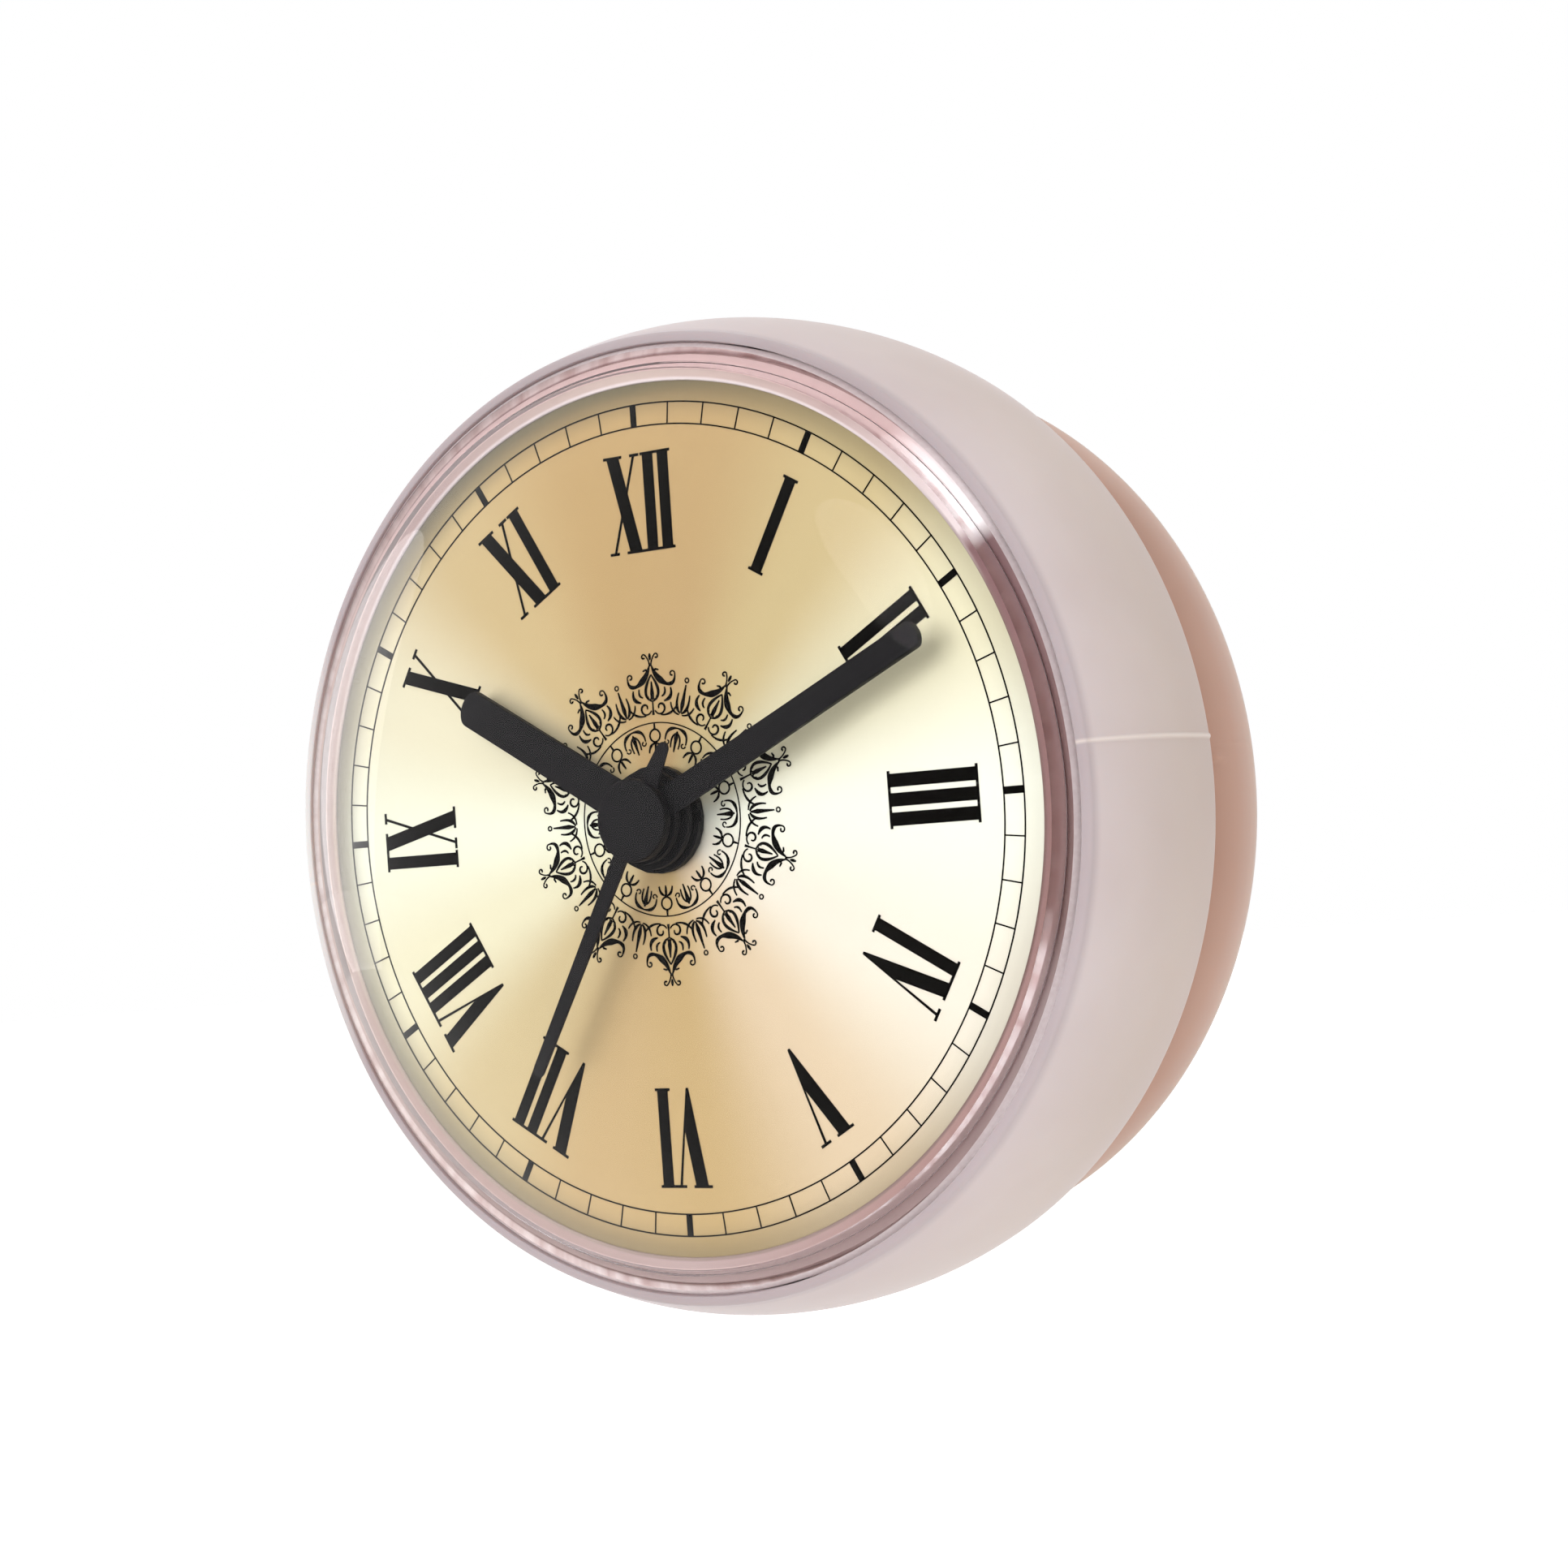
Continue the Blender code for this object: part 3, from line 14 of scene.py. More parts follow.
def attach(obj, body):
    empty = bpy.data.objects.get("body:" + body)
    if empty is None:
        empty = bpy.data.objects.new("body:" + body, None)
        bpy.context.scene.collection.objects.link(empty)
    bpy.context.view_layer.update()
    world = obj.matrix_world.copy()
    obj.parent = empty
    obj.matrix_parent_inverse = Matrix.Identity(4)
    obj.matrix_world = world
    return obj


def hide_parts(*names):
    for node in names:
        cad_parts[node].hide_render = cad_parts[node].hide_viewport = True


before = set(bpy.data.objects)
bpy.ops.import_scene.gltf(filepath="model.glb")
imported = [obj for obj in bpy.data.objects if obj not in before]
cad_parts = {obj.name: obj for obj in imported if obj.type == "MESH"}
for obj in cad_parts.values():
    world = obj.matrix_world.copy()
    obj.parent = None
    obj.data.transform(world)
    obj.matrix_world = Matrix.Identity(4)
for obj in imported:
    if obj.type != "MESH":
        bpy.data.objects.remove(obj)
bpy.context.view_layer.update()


# Silicone case: drum, lip and suction cup, one moulding in pale pink silicone rubber. The two halves of
# its mould leave a thin raised line down each side of the drum and over the cup, with a speck of flash.

POCKET_RADIUS = 0.0336
POCKET_FLOOR = 0.0130
GRIP_RADIUS = 0.0334        # the lip closes in on the core
LIP_RADIUS = 0.03415
LIP_FRONT = 0.02647
DRUM_RADIUS = 0.0360
WIDEST_HEIGHT = 0.01577
SHOULDER_HEIGHT = 0.02187
BACK_RADIUS = 0.0357
BACK_HEIGHT = 0.0115
NECK_RADIUS = 0.0170
CUP_TOP = 0.0106
CUP_RADIUS = 0.03335
CUP_RIM = 0.00055
CUP_INNER = 0.0323
CUP_HOLLOW = 0.0078
POCKET_ROUNDING = 0.0004
LIP_ROUNDING = 0.000495
GRIP_ROUNDING = 0.00012
BACK_ROUNDING = 0.0004
NECK_ROUNDING = 0.0003
RIM_ROUNDING = 0.0003
NEAR_HOLLOW = 0.0004        # faces nearer than this to the hollow's curve are polished
GATE_RADIUS = 0.0015        # mark of the mould's gate in the middle of the hollow
GATE_HEIGHT = 0.00018
SEAM_ANGLE = 85.4           # clockwise from 12
SEAM_HALF_WIDTH = 0.00021
SEAM_HEIGHT = 0.00010
SEAM_ON_CUP = 0.3           # the share of its height that it has there
FLASH_ANGLE = 87.2          # a speck of flash on the cup, just behind the drum
FLASH_PLACE = 0.0023        # its height
FLASH_RADIUS = 0.00042
FLASH_FROM_AXIS = 0.032
FLASH_HEIGHT = 0.7          # in shares of its radius
FLASH_SQUASH = 1.3
SAME_PLACE = 0.0000005      # points closer than this are one
PIGMENT_DEPTH = 0.0265      # the pigment is set by the share of this height
DRUM_SHARE = 0.43           # where the drum's back is on it
ROUND_STEPS = 192           # facets round a turned piece
FINE_STEPS = 240            # and round the case and the printed circles


def linear(colour):
    """An sRGB hex colour as linear red, green, blue and alpha."""
    values = [int(colour[i:i + 2], 16) / 255 for i in (1, 3, 5)]
    return (*[v / 12.92 if v <= 0.04045 else ((v + 0.055) / 1.055) ** 2.4 for v in values], 1.0)


def add_node(tree, kind, inputs=None, stops=(), **settings):
    """Adds a node. An input is a value, or the socket that feeds it. A ramp's stops are pairs of a position
    and a hex colour."""
    made = tree.nodes.new(kind)
    for name, value in settings.items():
        setattr(made, name, value)
    for name, value in (inputs or {}).items():
        if isinstance(value, bpy.types.NodeSocket):
            tree.links.new(value, made.inputs[name])
        else:
            made.inputs[name].default_value = value
    if stops:
        points = made.color_ramp.elements
        while len(points) < len(stops):
            points.new(1.0)
        for point, (position, colour) in zip(points, stops):
            point.position = position
            point.color = linear(colour)
    return made


def new_material(name, **values):
    """A Principled material, with its tree, its shader and the piece's own coordinates."""
    made = bpy.data.materials.new(name)
    made.use_nodes = True
    tree = made.node_tree
    shader = tree.nodes["Principled BSDF"]
    for socket, value in values.items():
        shader.inputs[socket.replace("_", " ")].default_value = value
    place = add_node(tree, "ShaderNodeTexCoord").outputs["Object"]
    return made, tree, shader, place


def vary(tree, shader, pattern, colours=(), roughness=(), relief=()):
    """Lets a pattern vary a surface: its colour by a ramp's stops, its roughness between two values, and its
    relief by a strength and a depth."""
    if colours:
        pigment = add_node(tree, "ShaderNodeValToRGB", {"Fac": pattern}, colours)
        tree.links.new(pigment.outputs["Color"], shader.inputs["Base Color"])
    if roughness:
        low, high = roughness
        satin = add_node(tree, "ShaderNodeMapRange", {"Value": pattern, "To Min": low, "To Max": high})
        tree.links.new(satin.outputs["Result"], shader.inputs["Roughness"])
    if relief:
        strength, depth = relief
        bump = add_node(tree, "ShaderNodeBump", {"Height": pattern, "Strength": strength, "Distance": depth})
        tree.links.new(bump.outputs["Normal"], shader.inputs["Normal"])


def clouded(tree, place, colour, dullest):
    """A colour made a little uneven, as pigment is in silicone, and the clouds' own value."""
    noise = add_node(tree, "ShaderNodeTexNoise", {"Vector": place, "Scale": 60.0, "Detail": 3.0})
    cloud = noise.outputs["Fac"]
    tint = add_node(tree, "ShaderNodeValToRGB", {"Fac": cloud}, [(0.3, dullest), (0.7, "#ffffff")])
    mixed = add_node(tree, "ShaderNodeMix", {0: 1.0, 6: colour, 7: tint.outputs["Color"]},
                     data_type="RGBA", blend_type="MULTIPLY")
    return mixed.outputs[2], cloud


def from_axis(tree, place):
    """A point's distance from the clock's axis."""
    flat = add_node(tree, "ShaderNodeVectorMath", {0: place, 1: (1.0, 0.0, 1.0)}, operation="MULTIPLY")
    return add_node(tree, "ShaderNodeVectorMath", {0: flat.outputs[0]}, operation="LENGTH").outputs["Value"]


def bend(start, corner, end, steps):
    """Points of a curve that leaves start towards corner and arrives at end from it, without start."""
    shares = [i / steps for i in range(1, steps + 1)]
    return [
        tuple((1 - t) ** 2 * a + 2 * t * (1 - t) * b + t * t * c for a, b, c in zip(start, corner, end))
        for t in shares
    ]


def even_angles(steps):
    return [math.tau * i / steps for i in range(steps)]


def mesh_from(work):
    """The finished mesh of a bmesh, with its many-sided faces cut into triangles."""
    work.normal_update()
    bmesh.ops.triangulate(work, faces=[face for face in work.faces if len(face.verts) > 4])
    # The triangles come in an order that differs from run to run, so the faces' corners set it
    work.verts.index_update()
    count = len(work.verts)
    work.faces.sort(key=lambda face: face.verts[0].index * count + face.verts[1].index)
    mesh = bpy.data.meshes.new("mesh")
    work.to_mesh(mesh)
    work.free()
    return mesh


def turned(profile, angles=None, lift=None):
    """A mesh turned from a closed profile of (radius, height) points. lift(i, angle) is how far the point
    numbered i moves outwards along the profile's normal."""
    work = bmesh.new()
    count = len(profile)
    normals = []
    for i, point in enumerate(profile):
        before = Vector(profile[i - 1] if i else point)
        after = Vector(profile[i + 1] if i < count - 1 else point)
        along = after - before
        normals.append(Vector((-along.y, along.x)).normalized())
    rows = []
    for angle in angles or even_angles(ROUND_STEPS):
        row = []
        for i, (radius, height) in enumerate(profile):
            out = lift(i, angle) if lift else 0.0
            far = radius + normals[i].x * out
            row.append(work.verts.new((
                far * math.cos(angle), far * math.sin(angle), height + normals[i].y * out
            )))
        rows.append(row)
    closed = profile[0][0] > 0.0
    for row, following in zip(rows, rows[1:] + rows[:1]):
        for i in range(count if closed else count - 1):
            j = (i + 1) % count
            work.faces.new((row[i], row[j], following[j], following[i]))
    bmesh.ops.remove_doubles(work, verts=work.verts, dist=SAME_PLACE)
    bmesh.ops.recalc_face_normals(work, faces=work.faces)
    return mesh_from(work)


def finish_piece(name, mesh, material, body, replaced=(), sharp=35.0):
    """Turns a mesh from clock coordinates into the frame's, and puts it on its body."""
    mesh.name = name
    mesh.transform(Matrix.Rotation(math.pi / 2, 4, "X"))
    mesh.materials.clear()
    mesh.materials.append(material)
    mesh.shade_smooth()
    mesh.set_sharp_from_angle(angle=math.radians(sharp))
    piece = bpy.data.objects.new(name, mesh)
    bpy.context.scene.collection.objects.link(piece)
    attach(piece, body)
    if replaced:
        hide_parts(*replaced)
    return piece


lip_edge = (LIP_RADIUS, LIP_FRONT - LIP_ROUNDING)
lip_start = (GRIP_RADIUS + GRIP_ROUNDING, LIP_FRONT)
case_profile = [(radius, POCKET_FLOOR) for radius in (0.0, 0.012, 0.024, 0.0332)]
pocket_corner = (POCKET_RADIUS, POCKET_FLOOR)
case_profile += bend(case_profile[-1], pocket_corner, (POCKET_RADIUS, POCKET_FLOOR + POCKET_ROUNDING), 4)
case_profile += [(POCKET_RADIUS, 0.0175), (POCKET_RADIUS, 0.0225)]
case_profile += bend(case_profile[-1], (POCKET_RADIUS, 0.0240), (GRIP_RADIUS, 0.0250), 4)
case_profile.append((GRIP_RADIUS, LIP_FRONT - GRIP_ROUNDING))
case_profile += bend(case_profile[-1], (GRIP_RADIUS, LIP_FRONT), lip_start, 3)
case_profile += bend(lip_start, (LIP_RADIUS, LIP_FRONT), lip_edge, 8)
seam_from = len(case_profile) - 1
case_profile += bend(lip_edge, (DRUM_RADIUS, SHOULDER_HEIGHT), (DRUM_RADIUS, WIDEST_HEIGHT), 26)
back_edge = (BACK_RADIUS, BACK_HEIGHT + BACK_ROUNDING)
case_profile += bend(case_profile[-1], (DRUM_RADIUS, 0.0137), back_edge, 8)
case_profile += bend(back_edge, (BACK_RADIUS, BACK_HEIGHT), (BACK_RADIUS - BACK_ROUNDING, BACK_HEIGHT), 4)
seam_to = len(case_profile) - 1
case_profile += [(radius, BACK_HEIGHT) for radius in (0.0300, 0.0230, NECK_RADIUS + NECK_ROUNDING)]
neck_start = (NECK_RADIUS, BACK_HEIGHT - NECK_ROUNDING)
case_profile += bend(case_profile[-1], (NECK_RADIUS, BACK_HEIGHT), neck_start, 3)
case_profile.append((NECK_RADIUS, CUP_TOP))
cup_from = len(case_profile) - 1
case_profile += bend(case_profile[-1], (0.0265, 0.0066), (CUP_RADIUS, CUP_RIM), 48)
cup_to = len(case_profile) - 1
case_profile += bend(case_profile[-1], (CUP_RADIUS + 0.00005, 0.0), (CUP_RADIUS - RIM_ROUNDING, 0.0), 4)
for i in range(20, 0, -1):
    share = i / 20
    case_profile.append((CUP_INNER * share, CUP_HOLLOW * (1 - share ** 2)))
case_profile.append((GATE_RADIUS, CUP_HOLLOW))
gate_face = CUP_HOLLOW - GATE_HEIGHT
case_profile += bend(case_profile[-1], (GATE_RADIUS, gate_face), (0.7 * GATE_RADIUS, gate_face), 3)
case_profile.append((0.0, gate_face))

seam_angles = [math.radians(90 - SEAM_ANGLE), math.radians(270 - SEAM_ANGLE)]
case_angles = set(even_angles(FINE_STEPS))
for middle in seam_angles:
    for share in (-1.6, -1.0, -0.7, -0.35, 0.0, 0.35, 0.7, 1.0, 1.6):
        case_angles.add((middle + share * SEAM_HALF_WIDTH / DRUM_RADIUS) % math.tau)
flash_middle = math.radians(90 - FLASH_ANGLE)
for share in (-1.0, -0.6, -0.3, 0.0, 0.3, 0.6, 1.0):
    case_angles.add((flash_middle + share * FLASH_RADIUS / FLASH_FROM_AXIS) % math.tau)


def seam_lift(i, angle):
    """How far the mould's parting line and its flash stand out of the silicone at a profile point."""
    radius, height = case_profile[i]
    aside = min(abs(angle - middle) for middle in seam_angles) * radius / SEAM_HALF_WIDTH
    ridge = max(0.0, 1.0 - aside ** 2)
    if seam_from < i < seam_to:
        return SEAM_HEIGHT * ridge
    if cup_from < i < cup_to:
        away = math.hypot((angle - flash_middle) * radius, (height - FLASH_PLACE) * FLASH_SQUASH)
        speck = max(0.0, 1.0 - (away / FLASH_RADIUS) ** 2)
        return SEAM_ON_CUP * SEAM_HEIGHT * ridge + FLASH_HEIGHT * FLASH_RADIUS * speck
    return 0.0


case_mesh = turned(case_profile, sorted(case_angles), seam_lift)

# Silicone with a pale pink pigment, satin and a little translucent. On the cup its colour darkens to a deep
# brown towards the neck under the drum: painted shade of that crevice
silicone, tree, shader, place = new_material(
    "moulded_silicone_rubber", IOR=1.41, Subsurface_Weight=0.25, Subsurface_Scale=0.0015,
    Subsurface_Radius=(1.0, 0.6, 0.45), Sheen_Weight=0.40, Sheen_Roughness=0.30,
    Sheen_Tint=linear("#f6eef6"),
)
split = add_node(tree, "ShaderNodeSeparateXYZ", {"Vector": place}).outputs
share = add_node(tree, "ShaderNodeMapRange", {"Value": split["Y"], "From Max": -PIGMENT_DEPTH})
along = share.outputs["Result"]
# The browns on the cup, darkest by the drum's back, are painted shade
pigment = add_node(tree, "ShaderNodeValToRGB", {"Fac": along}, [
    (0.00, "#d9c9c0"), (0.05, "#cdaa9a"), (0.18, "#b07c60"), (0.32, "#9a6448"), (0.41, "#824c32"),
    (DRUM_SHARE, "#cab8ae"), (0.62, "#cfbfb6"), (0.85, "#d4c6c2"), (0.96, "#d3c6c5"), (0.995, "#b9adb0"),
    (1.00, "#b6aaae"),
])
uneven, cloud = clouded(tree, place, pigment.outputs["Color"], "#f4f1f0")
# Painted highlight: the lip is paler towards 9 o'clock, as if lit from the left
to_left = add_node(tree, "ShaderNodeMapRange", {"Value": split["X"], "From Min": -0.029, "From Max": -0.034})
to_lip = add_node(tree, "ShaderNodeMapRange", {"Value": along, "From Min": 0.90, "From Max": 0.985})
left_light_share = add_node(tree, "ShaderNodeMath", {0: to_left.outputs["Result"], 1: to_lip.outputs["Result"]},
                operation="MULTIPLY")
left_lip_highlight = add_node(tree, "ShaderNodeMix", {0: left_light_share.outputs[0], 6: uneven, 7: linear("#e6e2e0")},
                    data_type="RGBA")
# Painted highlight: the parting line on the drum is paler, as where light catches its ridge
across = (math.cos(math.radians(SEAM_ANGLE)), 0.0, -math.sin(math.radians(SEAM_ANGLE)))
aside = add_node(tree, "ShaderNodeVectorMath", {0: place, 1: across}, operation="DOT_PRODUCT")
from_seam = add_node(tree, "ShaderNodeMath", {0: aside.outputs["Value"]}, operation="ABSOLUTE")
line = add_node(tree, "ShaderNodeMapRange", {
    "Value": from_seam.outputs[0], "From Max": SEAM_HALF_WIDTH, "To Min": 0.6, "To Max": 0.0,
})
on_drum = add_node(tree, "ShaderNodeMath", {0: along, 1: DRUM_SHARE}, operation="GREATER_THAN")
seam_highlight_share = add_node(tree, "ShaderNodeMath", {0: line.outputs["Result"], 1: on_drum.outputs[0]},
                operation="MULTIPLY")
seam_highlighted = add_node(tree, "ShaderNodeMix", {0: seam_highlight_share.outputs[0], 6: left_lip_highlight.outputs[2], 7: linear("#efe2d8")},
                 data_type="RGBA")
tree.links.new(seam_highlighted.outputs[2], shader.inputs["Base Color"])
vary(tree, shader, cloud, roughness=(0.40, 0.52))
grain = add_node(tree, "ShaderNodeTexNoise", {"Vector": place, "Scale": 3500.0, "Detail": 2.0})
vary(tree, shader, grain.outputs["Fac"], relief=(0.25, 0.00002))

# The hollow of the cup comes from a polished tool, so that it seals, and shines
polished, tree, shader, place = new_material(
    "polished_silicone_rubber", Roughness=0.14, IOR=1.41, Subsurface_Weight=0.25, Subsurface_Scale=0.0015
)
share = add_node(tree, "ShaderNodeMapRange", {"Value": from_axis(tree, place), "From Max": CUP_INNER})
thinner = add_node(tree, "ShaderNodeValToRGB", {"Fac": share.outputs["Result"]}, [
    (0.0, "#cfa792"), (0.6, "#d6b09c"), (0.93, "#e0bfae"), (1.0, "#e6cbbd"),
])
uneven = clouded(tree, place, thinner.outputs["Color"], "#f6f2f0")[0]
tree.links.new(uneven, shader.inputs["Base Color"])

suction_case = finish_piece("suction_case", case_mesh, silicone, "case", ["silicone_case"], 50.0)
suction_case.data.materials.append(polished)
for face in suction_case.data.polygons:
    out = math.hypot(face.center.x, face.center.z) / CUP_INNER
    if out < 1.0 and -face.center.y < CUP_HOLLOW * (1 - out ** 2) + NEAR_HOLLOW:
        face.material_index = 1


# Core housing and battery door: injection-moulded ABS in a mauve brown, with a fine spark texture from the
# tool. They sit inside the silicone, and only the housing's land shows, through the lens.

HOUSING_RADIUS = 0.0333
HOUSING_LAND_INNER = 0.0310
HOUSING_CHAMFER = 0.0005
FACET_CUTS = 3              # new points on each facet round the wall
FACET_LIMIT = 0.006         # a longer edge is no facet
ON_CIRCLE = 0.000002        # how far from its circle a point of the wall may lie
WELD = 0.000001             # the loose triangles' corners closer than this are one

mauve_abs, tree, shader, place = new_material("moulded_abs", Roughness=0.42, IOR=1.53)
swirl = add_node(tree, "ShaderNodeTexNoise", {"Vector": place, "Scale": 90.0, "Detail": 4.0})
vary(tree, shader, swirl.outputs["Fac"], [(0.35, "#c0978f"), (0.65, "#c59d96")])
spark = add_node(tree, "ShaderNodeTexNoise", {"Vector": place, "Scale": 5000.0, "Detail": 2.0})
vary(tree, shader, spark.outputs["Fac"], relief=(0.4, 0.00002))


def finish_nodes(material, *names):
    """Gives CAD nodes, whose shapes are right as they are, their material."""
    for name in names:
        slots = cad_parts[name].data.materials
        slots.clear()
        slots.append(material)


finish_nodes(mauve_abs, "battery_door")


def rounded_housing():
    """The housing as built, with the facets round its wall divided and each new point set on its circle."""
    work = bmesh.new()
    work.from_mesh(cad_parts["core_housing"].data)
    work.transform(Matrix.Rotation(-math.pi / 2, 4, "X"))
    bmesh.ops.remove_doubles(work, verts=work.verts, dist=WELD)
    bmesh.ops.join_triangles(
        work, faces=work.faces, angle_face_threshold=math.radians(1.0), angle_shape_threshold=math.pi
    )
    circles = (HOUSING_LAND_INNER, HOUSING_RADIUS - HOUSING_CHAMFER, HOUSING_RADIUS)

    def circle_of(vertex):
        """The circle that a vertex lies on, or None."""
        return next((radius for radius in circles if abs(vertex.co.xy.length - radius) < ON_CIRCLE), None)

    facets = [
        edge for edge in work.edges
        if circle_of(edge.verts[0]) and circle_of(edge.verts[0]) == circle_of(edge.verts[1])
        and abs(edge.verts[0].co.z - edge.verts[1].co.z) < ON_CIRCLE and edge.calc_length() < FACET_LIMIT
    ]
    divided = bmesh.ops.subdivide_edges(work, edges=facets, cuts=FACET_CUTS)
    for vertex in divided["geom_inner"]:
        if isinstance(vertex, bmesh.types.BMVert):
            radius = min(circle for circle in circles if circle > vertex.co.xy.length - ON_CIRCLE)
            vertex.co.xy *= radius / vertex.co.xy.length
    return mesh_from(work)


finish_piece("moulded_housing", rounded_housing(), mauve_abs, "core", ["core_housing"])


# Seals: punched rings of soft silicone sheet, dusted with talc so that they don't stick. The larger one
# lies under the lens's foot and shows through its clear wall. The smaller one seals the battery door.

SEAL_INNER = 0.0314
SEAL_OUTER = 0.0332
STREAKS_ROUND = 130.0


def round_axis(tree, place):
    """How far round the clock's axis a point lies: 0 at 9 o'clock, on past 6, 3 and 12, and 1 at 9 again."""
    face = add_node(tree, "ShaderNodeMapping", {"Vector": place, "Rotation": (-math.pi / 2, 0.0, 0.0)})
    turn = add_node(tree, "ShaderNodeTexGradient", {"Vector": face.outputs["Vector"]},
                    gradient_type="RADIAL")
    return turn.outputs["Fac"]


seal_rubber, tree, shader, place = new_material("silicone_sheet", Roughness=0.6, IOR=1.41)
around = round_axis(tree, place)
# Its colour round the ring is painted light: a painted dark reflection from about half past 3 round to 2
# o'clock, ending in a painted white highlight at 2, and paler elsewhere
pigment = add_node(tree, "ShaderNodeValToRGB", {"Fac": around}, [
    (0.00, "#f1ebe7"), (0.10, "#e6d9d4"), (0.33, "#f6eeee"), (0.345, "#c2adaa"), (0.355, "#f8f1f1"),
    (0.44, "#efe4e3"), (0.46, "#8b6d69"), (0.588, "#896a67"), (0.592, "#ffffff"), (0.615, "#f2e8e8"),
    (0.64, "#cdb6b4"), (0.75, "#ecdedc"), (0.88, "#d3beba"), (1.00, "#f1ebe7"),
])
edge_shade_colours = add_node(tree, "ShaderNodeValToRGB", {"Fac": around}, [
    (0.00, "#dccdc4"), (0.12, "#b59b93"), (0.44, "#a08480"), (0.462, "#765a56"), (0.475, "#957773"),
    (0.588, "#896a67"), (0.592, "#ffffff"), (0.615, "#f2e8e8"), (0.64, "#a98e8d"), (0.86, "#a68b8a"),
    (1.00, "#dccdc4"),
])
# Painted shade: the ring is darker along both its edges
across = add_node(tree, "ShaderNodeMapRange", {
    "Value": from_axis(tree, place), "From Min": SEAL_INNER, "From Max": SEAL_OUTER,
})
edge_shade = add_node(tree, "ShaderNodeValToRGB", {"Fac": across.outputs["Result"]}, [
    (0.32, "#ffffff"), (0.42, "#000000"), (0.68, "#000000"), (0.78, "#a0a0a0"),
])
toned = add_node(tree, "ShaderNodeMix", {
    0: edge_shade.outputs["Color"], 6: pigment.outputs["Color"], 7: edge_shade_colours.outputs["Color"],
}, data_type="RGBA")
# Painted reflection: fine light and dark streaks round the ring
steps_round = add_node(tree, "ShaderNodeMath", {0: around, 1: STREAKS_ROUND}, operation="MULTIPLY")
radial = add_node(tree, "ShaderNodeCombineXYZ", {"X": steps_round.outputs[0]})
streaks = add_node(tree, "ShaderNodeTexNoise", {"Vector": radial.outputs[0], "Scale": 1.0, "Detail": 3.0})
painted_streaks = add_node(tree, "ShaderNodeValToRGB", {"Fac": streaks.outputs["Fac"]}, [
    (0.35, "#dccac8"), (0.6, "#ffffff"),
])
streaked = add_node(tree, "ShaderNodeMix", {0: 1.0, 6: toned.outputs[2], 7: painted_streaks.outputs["Color"]},
                    data_type="RGBA", blend_type="MULTIPLY")
tree.links.new(streaked.outputs[2], shader.inputs["Base Color"])
talc = add_node(tree, "ShaderNodeTexNoise", {"Vector": place, "Scale": 260.0, "Detail": 5.0})
vary(tree, shader, talc.outputs["Fac"], relief=(0.3, 0.00005))
finish_nodes(seal_rubber, "lens_seal", "door_seal")


# Movement base, setting knob and the chip's cover: moulded black ABS and black epoxy, both with a fine
# satin grain.

black_abs, tree, shader, place = new_material("black_moulded_abs", Base_Color=linear("#1d1c1c"), IOR=1.53)
grain = add_node(tree, "ShaderNodeTexNoise", {"Vector": place, "Scale": 4200.0, "Detail": 3.0})
vary(tree, shader, grain.outputs["Fac"], roughness=(0.38, 0.55), relief=(0.3, 0.00002))
finish_nodes(black_abs, "movement_base", "setting_knob", "chip")


# Movement cover and the wheels: white acetal, moulded, a little waxy, with the faint marks of the gate's
# flow.

white_acetal, tree, shader, place = new_material(
    "white_acetal", Roughness=0.35, IOR=1.48, Subsurface_Weight=0.2, Subsurface_Scale=0.0005
)
flow = add_node(tree, "ShaderNodeTexNoise", {
    "Vector": place, "Scale": 300.0, "Detail": 3.0, "Distortion": 0.6,
})
vary(tree, shader, flow.outputs["Fac"], [(0.35, "#dedbd2"), (0.65, "#ebe9e2")])
finish_nodes(
    white_acetal, "movement_cover", "seconds_wheel", "third_wheel", "centre_wheel", "minute_wheel",
    "hour_wheel", "intermediate_wheel",
)


# Motor: a sintered two-pole magnet, a stator and a core stamped from annealed soft iron, and a coil of
# enamelled copper wire, wound across the movement. The ribs of its turns run round its axis, and are drawn
# 0.2 mm apart so that they show.

magnet_alloy, tree, shader, place = new_material("sintered_magnet", Metallic=0.6)
pits = add_node(tree, "ShaderNodeTexNoise", {"Vector": place, "Scale": 6000.0, "Detail": 3.0})
vary(tree, shader, pits.outputs["Fac"], [(0.35, "#33322f"), (0.65, "#474540")], (0.35, 0.6))
finish_nodes(magnet_alloy, "rotor")

soft_iron, tree, shader, place = new_material("annealed_soft_iron", Metallic=1.0)
bluing = add_node(tree, "ShaderNodeTexNoise", {"Vector": place, "Scale": 400.0, "Detail": 4.0})
vary(tree, shader, bluing.outputs["Fac"], [(0.35, "#7d7c7e"), (0.65, "#95928f")], (0.35, 0.55))
finish_nodes(soft_iron, "stator", "coil_core")

magnet_wire, tree, shader, place = new_material("enamelled_copper_wire", Metallic=1.0, Roughness=0.3)
turns = add_node(
    tree, "ShaderNodeTexWave", {"Vector": place, "Scale": 1600.0, "Distortion": 0.4},
    wave_type="BANDS", bands_direction="X",
)
vary(tree, shader, turns.outputs["Fac"], [(0.2, "#7c3f22"), (0.8, "#c27a4b")], relief=(0.6, 0.00005))
finish_nodes(magnet_wire, "coil")


# Circuit board: glass-epoxy laminate under a green solder mask, whose weave of glass just shows.

laminate, tree, shader, place = new_material("glass_epoxy_laminate", Roughness=0.35)
weave = add_node(tree, "ShaderNodeTexChecker", {
    "Vector": place, "Scale": 2500.0, "Color1": linear("#1d5a36"), "Color2": linear("#236641"),
})
tree.links.new(weave.outputs["Color"], shader.inputs["Base Color"])
vary(tree, shader, weave.outputs["Fac"], relief=(0.2, 0.00002))
finish_nodes(laminate, "circuit_board")


# Button cell, its two spring contacts, the crystal's can and the two screws: drawn stainless and
# nickel-plated steel with fine rolling lines.

